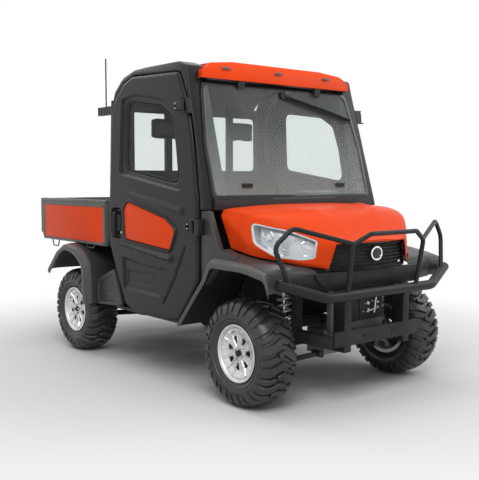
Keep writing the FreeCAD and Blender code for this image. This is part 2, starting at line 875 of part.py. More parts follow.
def door_line():
    """Outline of the doors in side view, from the front foot round the back to the front edge."""
    front, rear = size.door_front, size.door_rear
    return [
        (front, deck - 162),
        (front + 205, floor_low + 40),
        (rear - 362, floor_low + 5),
        (rear - 202, floor_low + 60),
        (rear - 22, floor_low + 400),
        (rear, floor_low + 500),
        (rear, door_top - 268),
        (rear - 40, door_top - 155),
        (rear - 157, door_top - 48),
        (rear - 267, door_top - 10),
        (front + 265, door_top - 32),
        (front + 235, door_top - 43),
        (front + 163, door_top - 182),
        (front + 107, door_top - 327),
        (front + 75, door_top - 441),
        (front + 25, belt + 100),
        (front, belt),
    ]


def door_skin_edge():
    """The line that frames the doors, one gap outside them, rear edge first and over the top."""
    gap = size.door_gap
    moves = (
        (1, 0.5),
        (0.6, 0.9),
        (0.2, 1),
        (0, 1),
        (-0.7, 0.8),
        (-1, 0.4),
        (-1, 0.3),
        (-1, 0.2),
        (-1, 0.1),
        (-1, 0),
    )
    return [(y + gap * a, z + gap * b) for (y, z), (a, b) in zip(door_line()[7:], moves)]


def lean_cut(body, face, depth):
    """Trims a side body to the slanted outer face at `face` and, with a depth, its inner face."""
    top = door_top - 27.5
    lean = size.cab_lean
    outer = [(face, 0), (face, belt), (face - lean, top), (face - lean * 2, roof_top + 60)]
    cut(body, "XZ", [outer + [(face + 200, roof_top + 60), (face + 200, 0)]])
    if depth is not None:
        inner = [(x - depth, z) for x, z in outer]
        cut(body, "XZ", [inner + [(face - 300, roof_top + 60), (face - 300, 0)]])


def cab_side():
    """One side hoop of the cab: front pillar, roof rail and rear pillar, with the outer skin strips."""
    line = roof_line()
    foot = pillar_foot
    slope = (size.screen_high - size.screen_low) / (screen_top - screen_bottom)
    back_off = size.glass_wall + 0.5
    front_foot = (size.screen_low + back_off - slope * (screen_bottom - foot), foot)
    front_top = (size.screen_high + back_off, screen_top)
    low = bed_low - 40
    rear = line[-1][0]
    outer = [front_foot, front_top] + line + [(rear, low)]
    hoop = outer + [
        (rear - 60, low),
        (rear - 60, roof_top - 310),
        (rear - 95, roof_top - 215),
        (rear - 190, roof_top - 130),
        (rear - 300, roof_top - 90),
        (size.screen_high + 155, roof_top - 112),
        (size.screen_high + 92, screen_top + 6),
        (front_foot[0] + size.pillar_depth + 12, foot),
    ]
    body = panel("YZ", [hoop], size.pillar_inner, size.pillar_outer)
    seam = (rear, door_line()[6][1] + size.door_gap + 1)
    sill_corner = (size.door_front - size.door_gap, foot)
    skin = [front_foot, front_top] + line + [seam] + door_skin_edge() + [sill_corner]
    pad(body, "YZ", [skin], size.pillar_outer, size.cab_half - 8)
    lean_cut(body, size.cab_half - 12, None)
    return body


def build_roof_panel():
    """Roof skin with its front fascia, crowned from side to side."""
    line = roof_line()
    fascia = size.screen_high - 37
    outer = [
        (fascia, screen_top + 10),
        (fascia + 8, roof_top - 62),
        (fascia + 34, roof_top - 22),
        (fascia + 130, roof_top - 4),
        (size.cab_rear - 448, roof_top),
        (size.cab_rear - 288, roof_top - 8),
        (size.cab_rear - 128, roof_top - 62),
        (size.cab_rear - 30, roof_top - 160),
        (size.cab_rear, roof_top - 214),
    ]
    inner = [
        (size.cab_rear - 18, roof_top - 214),
        (size.cab_rear - 63, roof_top - 165),
        (size.cab_rear - 158, roof_top - 92),
        (size.cab_rear - 298, roof_top - 50),
        (size.screen_high + 160, roof_top - 54),
        (size.screen_high + 11.5, screen_top + 24),
        (size.screen_high + 11.5, screen_top + 10),
    ]
    body = panel("YZ", [outer + inner], -size.pillar_inner + 0.5, size.pillar_inner - 0.5)
    wing = [
        (fascia, screen_top + 10),
        (fascia + 8, roof_top - 62),
        (fascia + 34, roof_top - 22),
        (line[0][0] - 0.5, roof_top - 22),
        (line[0][0] - 0.5, screen_top + 10),
    ]
    pad(body, "YZ", [wing], -size.pillar_outer - 8, size.pillar_outer + 8)
    half = size.pillar_outer + 8
    crown = [
        (-half - 60, roof_top - 130),
        (-half, roof_top - 95),
        (-half + 75, roof_top - 42),
        (-300, roof_top - 12),
        (0, roof_top - 1),
        (300, roof_top - 12),
        (half - 75, roof_top - 42),
        (half, roof_top - 95),
        (half + 60, roof_top - 130),
        (half + 60, roof_top + 90),
        (-half - 60, roof_top + 90),
    ]
    cut(body, "XZ", [crown])
    return body


def build_windscreen():
    """Slanted pane, widest from its bottom to half its height."""
    low, high = size.screen_low, size.screen_high
    wall = size.glass_wall
    outline = [
        (low, screen_bottom),
        (high, screen_top),
        (high + wall, screen_top),
        (low + wall, screen_bottom),
    ]
    half = size.screen_half
    body = panel("YZ", [outline], -half, half)
    middle = screen_bottom + (screen_top - screen_bottom) * 0.45
    for side in (1, -1):
        taper = [
            (half * side, middle),
            ((half - 53) * side, screen_top),
            ((half - 53) * side, screen_top + 60),
            ((half + 60) * side, screen_top + 60),
            ((half + 60) * side, middle),
        ]
        cut(body, "XZ", [taper])
    return body


def build_windscreen_fittings():
    """Two hinges over the glass, two catches on it and the wiper with its motor."""
    def on_glass(height):
        share = (height - screen_bottom) / (screen_top - screen_bottom)
        return size.screen_low + (size.screen_high - size.screen_low) * share

    parts = []
    level = screen_top - 38
    for span in spans(size.screen_half - 383, size.screen_half - 331):
        parts.append(block(span, (on_glass(level) - 26, on_glass(level) + 1), (level, level + 46)))
    level = screen_bottom + 74
    for span in spans(size.screen_half - 321, size.screen_half - 241):
        parts.append(block(span, (on_glass(level) - 12, on_glass(level) + 1), (level, level + 22)))
    start = (sized(15), on_glass(screen_top - 55) - 20, screen_top - 55)
    end = (size.screen_half - 76, on_glass(screen_top - 199) - 20, screen_top - 199)
    arm = strut(start, end, 9)
    motor = bar((start[0], start[1] - 8, start[2]), "Y", 24, 34)
    parts.append(joined([arm, motor]))
    return several(parts)


def build_cowl():
    """Strip between the hood and the glass, with the two hood hinge lugs and their pins."""
    front = size.hood_rear + 18
    back = size.screen_low - 12
    strip = block((-size.screen_half, size.screen_half), (front, back), (pillar_foot, screen_bottom))
    ledge = block(
        (-size.pillar_inner, size.pillar_inner),
        (back, size.screen_low + size.glass_wall),
        (pillar_foot, screen_bottom),
    )
    lugs = []
    for x in (-hood_hinge_half, hood_hinge_half):
        lugs.append(block((x - 8, x + 8), (hood_axis[0] - 9, front), (hood_axis[1] - 9, hood_axis[1] + 7)))
        lugs.append(bar((x - 36, hood_axis[0], hood_axis[1]), "X", 5, 72))
    return joined([strip, ledge] + lugs)


def rear_window(lap):
    """Outline of the opening in the rear wall, grown by lap."""
    low = axle + 1062 - lap
    high = roof_top - 274 + lap
    return [(-606 - lap, low), (606 + lap, low), (600 + lap, high), (-600 - lap, high)]


def build_rear_wall():
    """Rear wall of the cab with its window, and the two bars that carry the headrests."""
    low = bed_low - 40
    face = size.cab_rear
    half = size.cab_half - 22
    top = roof_top - 214
    outline = [(-half, low), (half, low), (half, belt), (half - 20, top), (-half + 20, top), (-half, belt)]
    window = rear_window(sized(0))
    body = panel("XZ", [outline, window], face - 17.5, face)
    round_edges(body, "Y", window, 45)
    posts = spans(size.seat_centre - 68, size.seat_centre - 20)
    bars = [block(span, (face - 82, face - 44), (seat_top, roof_top - 210)) for span in posts]
    feet = [
        block(span, (face - 44, face - 17.5), (level, level + 40))
        for span in posts
        for level in (bed_low - 20, belt - 60)
    ]
    return joined([body] + bars + feet)


def build_rear_window():
    return panel("XZ", [rear_window(size.glass_lap)], size.cab_rear, size.cab_rear + size.glass_wall)


def build_seat_base():
    rear = size.cab_rear - 85
    outline = [
        (rear - 470, floor_top),
        (rear + 35, floor_top),
        (rear + 35, seat_top),
        (rear - 500, seat_top),
    ]
    half = size.seat_centre + size.seat_half_width
    return panel("YZ", [outline], -half, half)


def cushion(side):
    middle = size.seat_centre * side
    half = size.seat_half_width - 5
    rear = size.cab_rear - 175
    outline = [
        (middle - half, rear - 410),
        (middle + half, rear - 410),
        (middle + half, rear),
        (middle - half, rear),
    ]
    body = panel("XY", [outline], seat_top, seat_top + size.cushion_height)
    round_edges(body, "Z", outline[:2], 60)
    return body


def seat_back(side):
    middle = size.seat_centre * side
    half = size.seat_half_width - 5
    rear = size.cab_rear - 90
    low = seat_top + 1
    profile = [
        (rear - 84, low),
        (rear, low),
        (rear, low + 520),
        (rear - 60, low + 520),
        (rear - 84, low + 110),
    ]
    body = panel("YZ", [profile], middle - half, middle + half)
    return body


def build_headrests():
    rear = size.cab_rear - 82
    outline = [(-125, axle + 1297), (125, axle + 1297), (125, axle + 1452), (-125, axle + 1452)]
    rests = []
    for side in (-1, 1):
        loop = [(x + (size.seat_centre + 12) * side, z) for x, z in outline]
        body = panel("XZ", [loop], rear - 75, rear)
        round_edges(body, "Y", loop, 30)
        rests.append(body)
    return several(rests)


def door_window():
    """Corners of the window opening, from the rear top forward and round."""
    front, rear = size.door_front, size.door_rear
    return [
        (rear - 197, door_top - 168),
        (front + 450, door_top - 228),
        (front + 325, door_top - 303),
        (front + 268, door_top - 468),
        (front + 218, belt + 95),
        (rear - 202, belt + 190),
    ]


def door_shell():
    """Left door, with its window opening, the rounded outline and the recess of the handle."""
    outline = door_line()
    body = panel("YZ", [outline, door_window()], size.cab_half - 150, size.cab_half + 20)
    round_edges(body, "X", door_window(), 42)
    round_edges(body, "X", [outline[0], outline[1], outline[3], outline[11]], 35)
    lean_cut(body, size.cab_half, size.door_wall)
    front, rear = size.door_rear - 171, size.door_rear - 22
    low, high = handle_low - 26, handle_high + 26
    pocket = [(front, low), (rear, low), (rear, high), (front, high)]
    hole = panel("YZ", [pocket], size.cab_half - size.handle_depth, size.cab_half + 20)
    round_edges(hole, "X", pocket, 40)
    return minus(body, hole)




def door_glass():
    """Pane that laps the inside of the window opening."""
    lap = size.glass_lap
    moves = ((1, 1), (-0.2, 1.1), (-0.8, 0.7), (-1, 0.2), (-1.2, -1), (1, -1))
    outline = [(y + lap * a, z + lap * b) for (y, z), (a, b) in zip(door_window(), moves)]
    body = panel("YZ", [outline], size.cab_half - 150, size.cab_half + 20)
    lean_cut(body, size.cab_half - size.door_wall, size.glass_wall)
    return body


def door_inlay():
    front, rear = size.door_front, size.door_rear
    outline = [
        (rear - 264, belt - 25),
        (rear - 209, belt - 77),
        (rear - 223, belt - 285),
        (front + 299, belt - 326),
        (front + 232, belt - 193),
        (front + 350, belt - 122),
    ]
    body = panel("YZ", [outline], size.cab_half, size.cab_half + 4)
    round_edges(body, "X", outline, 35)
    return body


def hinge_spot(level):
    """The point of the door's leaning hinge axis at a height."""
    return (hinge_out, size.door_front + 27 + (level - hinge_levels[0]) * size.hinge_lean, level)


def door_hardware():
    """Pull handle and the door halves of the two hinges."""
    skin = size.cab_half
    root = skin - size.handle_depth
    along = (size.door_rear - 88, size.door_rear - 62)
    grip = joined(
        [
            block((skin - 4, skin + 10), along, (handle_low, handle_high)),
            block((root, skin), along, (handle_low, handle_low + 24)),
            block((root, skin), along, (handle_high - 24, handle_high)),
        ]
    )
    parts = [grip]
    for level, run, inward in zip(hinge_levels, (75, 100), (0, 23)):
        start = hinge_spot(level)[1]
        barrel = strut(hinge_spot(level - 36), hinge_spot(level + 36), 12)
        strap = block((hinge_out - 12, hinge_out - 4), (start, start + run), (level - 28, level + 28))
        foot = block(
            (skin - inward, hinge_out - 4),
            (start + run - 35, start + run),
            (level - 28, level + 28),
        )
        hole = strut(hinge_spot(level - 50), hinge_spot(level + 50), 6.4)
        parts.append(minus(joined([barrel, strap, foot]), hole))
    return several(parts)


def screen_line(level):
    """Y of the windscreen's outer face at a height."""
    slope = (size.screen_high - size.screen_low) / (screen_top - screen_bottom)
    return size.screen_low + slope * (level - screen_bottom)


def hinge_mount(level, root, skin, reach, edges):
    """Body half of a door hinge: its base, which follows the pillar, two plates and the pin."""
    low, high = level - 48, level + 48
    (low_front, low_rear), (high_front, high_rear) = edges
    outline = [(low_front, low), (low_rear, low), (high_rear, high), (high_front, high)]
    parts = [strut(hinge_spot(low), hinge_spot(high), 6), panel("YZ", [outline], root, reach)]
    for start, front in ((low, low_front), (high - 8, high_front)):
        end = hinge_spot(start)[1] + 9
        parts.append(block((skin, hinge_out + 10), (front, end), (start, start + 8)))
    return joined(parts)


def build_door_hinge_mounts():
    """The lower mount stands on the side panel of the fender, the upper one on the pillar's narrow skin."""
    rear = size.door_front - size.door_gap
    lower = hinge_mount(
        hinge_levels[0], size.cab_half - 20, size.cab_half + 6, hinge_out + 10, [(rear - 43, rear)] * 2
    )
    door = door_line()
    run = (door[12][0] - door[13][0]) / (door[12][1] - door[13][1])
    edges = []
    for level in (hinge_levels[1] - 48, hinge_levels[1] + 48):
        edge = door[13][0] + run * (level - door[13][1])
        edges.append((screen_line(level) + size.glass_wall + 2, edge - size.door_gap - 1))
    upper = hinge_mount(hinge_levels[1], size.cab_half - 35, size.cab_half - 13, hinge_out - 16, edges)
    return several([lower, upper, mirrored(lower), mirrored(upper)])


def build_doors():
    for label, make in (
        ("door_shell", door_shell),
        ("door_glass", door_glass),
        ("door_inlay", door_inlay),
        ("door_hardware", door_hardware),
    ):
        left = make()
        node(f"{label}_left", left)
        node(f"{label}_right", mirrored(left))


def hood_sections(shrink):
    """Cross sections from the cowl to the nose: Y and half outline from the foot to the crown."""
    front = size.front_axle
    side = size.hood_half
    rise = [
        (size.hood_rear, hood_top - 232, ((side, -46), (side - 50, -20), (320, -3), (0, 0)), hood_top),
        (front - 24, deck + 22, ((side, -66), (side - 70, -24), (320, -4), (0, 0)), deck + 292),
        (front - 174, deck - 16, ((side - 105, -72), (side - 160, -28), (300, -4), (0, 0)), deck + 258),
        (front - 308, deck - 40, ((side - 255, -42), (side - 300, -16), (230, -4), (0, 0)), deck + 154),
        (
            size.hood_front + 30,
            deck - 54,
            ((side - 338, -22), (side - 366, -8), (190, -2), (0, 0)),
            deck + 114,
        ),
        (size.hood_front, deck - 62, ((side - 450, -18), (side - 475, -6), (120, -1), (0, 0)), deck + 106),
    ]
    made = []
    for along, foot, steps, crown in rise:
        half = [(sized(steps[0][0]) - shrink, foot - shrink * 4)]
        half += [(sized(x) - shrink, crown + drop - shrink) for x, drop in steps[:-1]]
        made.append((along, half + [(sized(0), crown - shrink)] + [(-x, z) for x, z in reversed(half)]))
    return made


def hood_solid(shrink):
    """Ruled loft through the hood's sections, each inset by shrink."""
    sketches = []
    for along, outline in hood_sections(shrink):
        sketch = doc.addObject("Sketcher::SketchObject", "Section")
        sketch.Placement = Placement(Vector(0, float(along), 0), Rotation(AXES["X"], 90))
        sketch.setExpression("Placement.Base.y", sized(along).text)
        draw(sketch, [outline])
        sketches.append(sketch)
    loft = doc.addObject("Part::Loft", "Loft")
    loft.Sections = sketches
    loft.Solid = True
    loft.Ruled = True
    return loft


def lamp_prism():
    """Side outline of the headlamp, through the left front corner of the hood."""
    front = size.front_axle
    outline = [
        (front - 4, deck + 220),
        (front - 36, deck + 95),
        (front - 148, deck + 16),
        (front - 253, deck),
        (front - 305, deck + 10),
        (front - 309, deck + 113),
        (front - 198, deck + 174),
    ]
    return panel("YZ", [outline], size.grille_half, size.hood_half + 40)


def grille_prism():
    half = size.grille_half
    low, high = deck - 66, deck + 96
    outline = [(-half - 52, low), (half + 52, low), (half, high), (-half, high)]
    return panel("XZ", [outline], size.hood_front - 30, size.hood_front + 85)


def hood_rear_wedges():
    """Wedges that slant the rear ends of the hood's sides."""
    top, corner = hood_side_line()[:2]
    outline = [top, corner, (corner[0], corner[1] - 60), (top[0], corner[1] - 60)]
    wedge = panel("YZ", [outline], size.hood_half - 40, size.hood_half + 60)
    return both_sides(wedge)


def front_slab(depth):
    """Space in front of the given depth behind the nose."""
    return block((-800, 800), (size.hood_front - 40, size.hood_front + depth), (deck - 200, deck + 300))


def build_hood_group():
    outer = hood_solid(0)
    hollow = minus(hood_solid(size.hood_wall), front_slab(size.hood_wall))
    lamp_hollow = minus(hood_solid(size.lamp_wall), front_slab(size.lamp_wall))
    grille_hollow = minus(hood_solid(size.grille_wall), front_slab(size.grille_wall))
    shell = minus(minus(minus(outer, hollow), both_sides(lamp_prism())), grille_prism())
    shell = minus(shell, hood_rear_wedges())
    ears, notches, pins = hood_ears()
    node("hood", minus(joined([minus(shell, several(notches))] + ears), several(pins)))
    node("headlamps", minus(shared(outer, both_sides(lamp_prism())), lamp_hollow))
    node("grille", minus(shared(outer, grille_prism()), grille_hollow))


def hood_ears():
    """Ears beside the notches in the hood's rear edge, with the holes for the hinge pins."""
    ears, notches, pins = [], [], []
    along, level = hood_axis
    for x in (-hood_hinge_half, hood_hinge_half):
        for start in (x - 34, x + 22):
            ears.append(
                block((start, start + 12), (size.hood_rear - 24, along + 9), (level - 12, level + 7))
            )
        notches.append(block((x - 34, x + 34), (size.hood_rear - 24, along + 20), (level - 20, level + 30)))
        pins.append(bar((x - 40, along, level), "X", 5.4, 80))
    return ears, notches, pins


def build_front_bumper():
    """Lower plate on two uprights, which also carry the brush guard."""
    face = size.guard_front + 30
    plate = block((-366, 366), (face, face + 12), (axle + 50, axle + 139))
    outline = [
        (face, rail_low),
        (size.rail_front, rail_low),
        (size.rail_front, axle + 300),
        (face + 40, axle + 374),
        (face - 12, axle + 374),
        (face - 12, axle + 312),
        (face, axle + 300),
    ]
    uprights = [panel("YZ", [outline], low, high) for low, high in spans(rail_in, rail_out - 5)]
    half = size.fairlead_spacing / 2
    holes = [bar((x, face - 1, axle + 94), "Y", 6.5, 14) for x in (-half, half)]
    return minus(joined([plate] + uprights), several(holes))


def build_brush_guard():
    """Main tube with its wings, the centre hoop and an outer hoop before each headlamp."""
    level = axle + size.guard_rise
    along = size.guard_front
    wing = (736, along + 107, level + 86)
    main = bent_tube(
        [(-wing[0], wing[1], wing[2]), (-462, along, level), (462, along, level), wing],
        size.guard_radius,
        120,
    )
    radius = size.hoop_radius
    knee = (312, along - 50, level + 292)
    crown = (200, along - 87, level + 352)
    centre = bent_tube(
        [
            (-300, along - 4, level),
            (-knee[0], knee[1], knee[2]),
            (-crown[0], crown[1], crown[2]),
            crown,
            knee,
            (300, along - 4, level),
        ],
        radius,
        34,
    )
    outer = [
        bent_tube(
            [
                (side * (knee[0] - 10), knee[1] - 2, knee[2] + 4),
                (side * 628, along + 104, level + 391),
                (side * 732, along + 137, level + 287),
                (side * 664, along + 79, level + 70),
            ],
            radius,
            60,
        )
        for side in (-1, 1)
    ]
    return joined([main, centre] + outer)


def build_bed_floor():
    """Floor with its cross ribs, the hinge ears and the lugs of the tailgate and the cylinder."""
    half = size.bed_half - size.bed_wall
    plate = block((-half, half), (size.bed_front + 25, bed_rear), (bed_low, bed_low + 25))
    ribs = [
        block((-half + 30, half - 30), (start, start + 60), (bed_low - 25, bed_low))
        for start in (size.bed_front + 60, hoist_eye - 30, bed_hinge - 100, bed_rear - 70)
    ]
    ears = []
    for span in spans(rail_out + 3, rail_out + 16):
        ears.append(block(span, (bed_hinge - 45, bed_hinge + 20), (bed_hinge_level - 15, bed_low + 10)))
    holes = [
        bar((start, bed_hinge, bed_hinge_level), "X", 9.5, 30)
        for start in (rail_out - 10, -rail_out - 20)
    ]
    eye_ears = [
        block(span, (hoist_eye - 24, hoist_eye + 24), (hoist_eye_level - 24, bed_low + 10))
        for span in spans(23, 33)
    ]
    eye_pin = bar((-33, hoist_eye, hoist_eye_level), "X", 8, 66)
    lugs = []
    for span in spans(490, 505):
        along = (bed_rear - 20, tailgate_axis[0] + 10)
        lugs.append(block(span, along, (bed_low - 22, tailgate_axis[1] + 10)))
    for start in (505, -530):
        lugs.append(bar((start, tailgate_axis[0], tailgate_axis[1]), "X", 6, 25))
    return minus(joined([plate] + ribs + ears + eye_ears + [eye_pin] + lugs), several(holes))


def build_bed_walls():
    """Two sides with their skirts, the front wall and the tie-down loops."""
    half = size.bed_half
    inner = half - size.bed_wall
    skirt_end = bed_rear - 28
    outline = [
        (size.bed_front, bed_skirt),
        (skirt_end, bed_skirt),
        (bed_rear, bed_low),
        (bed_rear, bed_top),
        (size.bed_front, bed_top),
    ]
    sides = [panel("YZ", [outline], low, high) for low, high in spans(inner, half)]
    front = block((-half, half), (size.bed_front, size.bed_front + 25), (bed_low, bed_top))
    return joined(sides + [front] + bed_hooks())


def bed_hooks():
    """Tie-down loops under the skirts of the bed sides."""
    half = size.bed_half - 14
    hooks = []
    for side in (-1, 1):
        for along, low in ((rear_axle - 236, bed_skirt - 27), (rear_axle + 350, bed_skirt - 49)):
            route = [
                (side * half, along - 62, bed_skirt + 4),
                (side * half, along - 42, low),
                (side * half, along + 42, low),
                (side * half, along + 62, bed_skirt + 4),
            ]
            hooks.append(bent_tube(route, 5, 14))
    return hooks


def bed_inlay():
    half = size.bed_half
    return block((half, half + 3), (size.bed_front + 30, bed_rear - 50), (bed_low - 13, bed_top - 50))


def build_tailgate():
    half = size.bed_half - 2
    low = bed_rear + size.tailgate_gap
    plate = block((-half, half), (low, low + size.tailgate_wall), (bed_low + 14, bed_top))
    ears = [
        block(
            span,
            (tailgate_axis[0] - 10, low + size.tailgate_wall),
            (tailgate_axis[1] - 10, bed_low + 14),
        )
        for span in spans(511, 524)
    ]
    holes = [bar((start, tailgate_axis[0], tailgate_axis[1]), "X", 6.4, 30) for start in (502, -532)]
    return minus(joined([plate] + ears), several(holes))


def along_hoist(distance):
    """The point of the cylinder's middle line at a distance from its foot pin."""
    run = (float(hoist_eye - hoist_foot), float(hoist_eye_level - hoist_foot_level))
    share = distance / math.hypot(*run)
    along = hoist_foot + (hoist_eye - hoist_foot) * share
    return (sized(0), along, hoist_foot_level + (hoist_eye_level - hoist_foot_level) * share)


def hoist_length():
    return math.hypot(float(hoist_eye - hoist_foot), float(hoist_eye_level - hoist_foot_level))


def build_hoist_barrel():
    tube = strut(along_hoist(44), along_hoist(hoist_length() - 62), size.hoist_barrel_radius)
    neck = strut(along_hoist(14), along_hoist(46), 17)
    bore = strut(along_hoist(34), along_hoist(hoist_length() - 40), size.hoist_rod_radius + 0.5)
    eye = bar((-18, hoist_foot, hoist_foot_level), "X", 25, 36)
    pin_hole = bar((-20, hoist_foot, hoist_foot_level), "X", 12.5, 40)
    return minus(minus(joined([tube, neck, eye]), bore), pin_hole)


def build_hoist_rod():
    rod = strut(along_hoist(38), along_hoist(hoist_length() - 14), size.hoist_rod_radius)
    eye = bar((-16, hoist_eye, hoist_eye_level), "X", 24, 32)
    eye_hole = bar((-18, hoist_eye, hoist_eye_level), "X", 14, 36)
    return minus(joined([rod, eye]), eye_hole)


def build_antenna():
    """Whip on a bracket behind the right rear corner of the cab."""
    base = size.cab_rear
    bracket = block((-675, -640), (base, base + 290), (axle + 1475, axle + 1535))
    whip = bar((-657, base + 196, axle + 1535), "Z", 5, 350)
    return joined([bracket, whip])


def build_exhaust():
    """Silencer outside the right frame rail, with its pipe."""
    silencer = bar((-size.rail_half - 40, bed_hinge - 305, axle + 330), "Y", 68, 225)
    pipe = bar((-size.rail_half - 70, bed_hinge - 90, axle + 330), "Y", 22, 150)
    return joined([silencer, pipe])


def build_tail_lamps():
    face = bed_hinge + 50
    lamps = [
        block(span, (face, face + 30), (bed_low - 172, bed_low - 118)) for span in spans(410, 505)
    ]
    return several(lamps)


def build_all():
    node("chassis_frame", build_chassis_frame())
    node("bed_subframe", build_bed_subframe())
    node("powertrain", build_powertrain())
    node("half_shafts", build_half_shafts())
    node("suspension_arms", build_suspension_arms())
    node("dampers", build_dampers())
    build_wheels()
    left = knuckle()
    node("knuckle_left", left)
    node("knuckle_right", mirrored(left))
    node("steering_rack", build_steering_rack())
    node("steering_wheel", build_steering_wheel())
    node("cab_tub", build_cab_tub())
    node("front_fenders", both_sides(front_fender()))
    node("front_fascia", build_front_fascia())
    node("rear_fenders", both_sides(rear_fender()))
    node("side_covers", both_sides(side_cover()))
    node("cab_frame", both_sides(cab_side()))
    node("roof_panel", build_roof_panel())
    node("windscreen", build_windscreen())
    node("windscreen_fittings", build_windscreen_fittings())
    node("cowl", build_cowl())
    node("rear_wall", build_rear_wall())
    node("rear_window", build_rear_window())
    node("dashboard", build_dashboard())
    node("seat_base", build_seat_base())
    node("driver_cushion", cushion(1))
    node("passenger_cushion", cushion(-1))
    node("driver_seat_back", seat_back(1))
    node("passenger_seat_back", seat_back(-1))
    node("headrests", build_headrests())
    build_doors()
    node("door_hinge_mounts", build_door_hinge_mounts())
    build_hood_group()
    node("front_bumper", build_front_bumper())
    node("brush_guard", build_brush_guard())
    node("bed_floor", build_bed_floor())
    node("bed_walls", build_bed_walls())
    node("bed_inlays", both_sides(bed_inlay()))
    node("tailgate", build_tailgate())
    node("hoist_barrel", build_hoist_barrel())
    node("hoist_rod", build_hoist_rod())
    node("antenna", build_antenna())
    node("tail_lamps", build_tail_lamps())


def check_all():
    for thing in doc.Objects:
        if "Invalid" in thing.State or "Error" in thing.State:
            raise RuntimeError(f"{thing.Label} did not build: {thing.State}")
    for label, thing in nodes.items():
        if thing.Shape.isNull() or not thing.Shape.isValid() or not thing.Shape.Solids:
            raise RuntimeError(f"{label} has no valid solid")


build_all()
doc.recompute()
check_all()
os.makedirs("parts", exist_ok=True)
for label, thing in nodes.items():
    thing.Shape.exportStep(f"parts/{label}.step")
print(f"{len(nodes)} sub-parts")
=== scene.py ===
import json
import math
import random

import bmesh
import bpy
import numpy as np
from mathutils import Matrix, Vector
from mathutils.geometry import delaunay_2d_cdt


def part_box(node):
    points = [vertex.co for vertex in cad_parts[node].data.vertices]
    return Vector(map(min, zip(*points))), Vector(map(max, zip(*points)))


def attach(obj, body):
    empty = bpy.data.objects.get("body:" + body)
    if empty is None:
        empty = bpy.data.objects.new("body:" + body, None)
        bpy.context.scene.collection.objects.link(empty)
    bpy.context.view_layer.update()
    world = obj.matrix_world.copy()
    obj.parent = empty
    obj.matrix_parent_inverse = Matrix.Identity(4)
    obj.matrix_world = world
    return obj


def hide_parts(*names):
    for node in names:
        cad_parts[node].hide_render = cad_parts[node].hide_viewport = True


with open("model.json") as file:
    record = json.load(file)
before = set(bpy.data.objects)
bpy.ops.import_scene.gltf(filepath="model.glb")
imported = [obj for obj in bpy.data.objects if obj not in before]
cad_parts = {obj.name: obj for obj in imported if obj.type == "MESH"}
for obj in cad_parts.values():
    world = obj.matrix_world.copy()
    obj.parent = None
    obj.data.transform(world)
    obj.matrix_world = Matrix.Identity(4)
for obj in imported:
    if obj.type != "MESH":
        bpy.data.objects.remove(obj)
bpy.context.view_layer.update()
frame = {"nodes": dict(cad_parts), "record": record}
cadNodes = frame["nodes"]
nodeSlots = {part["node"]: part["material_slot"] for part in frame["record"]["subparts"]}

finishLook = {  # colour, roughness, colour change, bump and its scale, then what else differs
    "orangeGloss": ((0.88, 0.07, 0.008), 0.42, 0.05, 0.02, 160, {"coat": 0.03, "specular": 0.1}),
    "grainedPlastic": ((0.017, 0.017, 0.018), 0.42, 0.2, 0.1, 420, {}),
    "doorPlastic": ((0.013, 0.0128, 0.0125), 0.36, 0.12, 0.06, 420, {}),
    "satinBlack": ((0.016, 0.016, 0.017), 0.38, 0.12, 0.05, 300, {}),
    "frameBlack": ((0.02, 0.02, 0.021), 0.5, 0.3, 0.1, 240, {"wear": 0.12}),
    "glossTrim": ((0.013, 0.013, 0.014), 0.2, 0.05, 0.02, 200, {"coat": 0.4}),
    "bedFrameGrey": ((0.13, 0.134, 0.12), 0.42, 0.15, 0.06, 260, {"wear": 0.05}),
    "bedLiner": ((0.05, 0.052, 0.048), 0.6, 0.25, 0.3, 300, {"wear": 0.05}),
    "tyreRubber": ((0.02, 0.02, 0.02), 0.4, 0.35, 0.2, 220, {"specular": 0.6}),
    "gripRubber": ((0.018, 0.018, 0.018), 0.62, 0.15, 0.2, 500, {}),
    "rimBright": ((0.64, 0.65, 0.66), 0.38, 0.06, 0.03, 500, {"metal": 1.0}),
    "rimPocket": ((0.09, 0.092, 0.096), 0.4, 0.15, 0.06, 300, {"metal": 0.6}),
    "castGrey": ((0.2, 0.2, 0.205), 0.58, 0.25, 0.3, 260, {"metal": 0.7}),
    "zincSteel": ((0.55, 0.55, 0.57), 0.32, 0.15, 0.06, 320, {"metal": 1.0}),
    "springSilver": ((0.5, 0.51, 0.53), 0.35, 0.1, 0.04, 300, {"metal": 0.8}),
    "chromeTrim": ((0.82, 0.83, 0.85), 0.08, 0.03, 0.01, 200, {"metal": 1.0}),
    "seatVinyl": ((0.03, 0.03, 0.032), 0.45, 0.2, 0.35, 380, {}),
    "cowlGrey": ((0.04, 0.04, 0.04), 0.46, 0.15, 0.1, 420, {}),
    "redLens": ((0.5, 0.012, 0.01), 0.12, 0.05, 0.03, 140, {"coat": 0.8}),
    "amberLens": ((0.85, 0.22, 0.02), 0.14, 0.05, 0.03, 140, {"coat": 0.8}),
    "lampRimPale": ((0.6, 0.61, 0.62), 0.25, 0.05, 0.02, 200, {"coat": 0.4}),
    "lampTray": ((0.5, 0.52, 0.54), 0.22, 0.2, 0.05, 180, {"metal": 0.7}),
    "fenderPlastic": ((0.05, 0.049, 0.048), 0.34, 0.12, 0.06, 380, {}),
    # a paler plastic that paints the highlight on the fender lips and the rear arch bead
    "fenderLipPaintedHighlight": ((0.11, 0.108, 0.105), 0.4, 0.12, 0.06, 380, {}),
    "pillarBlack": ((0.014, 0.014, 0.014), 0.32, 0.1, 0.03, 300, {}),
    "printBand": ((0.01, 0.01, 0.011), 0.12, 0.04, 0.01, 200, {"coat": 0.5}),
}
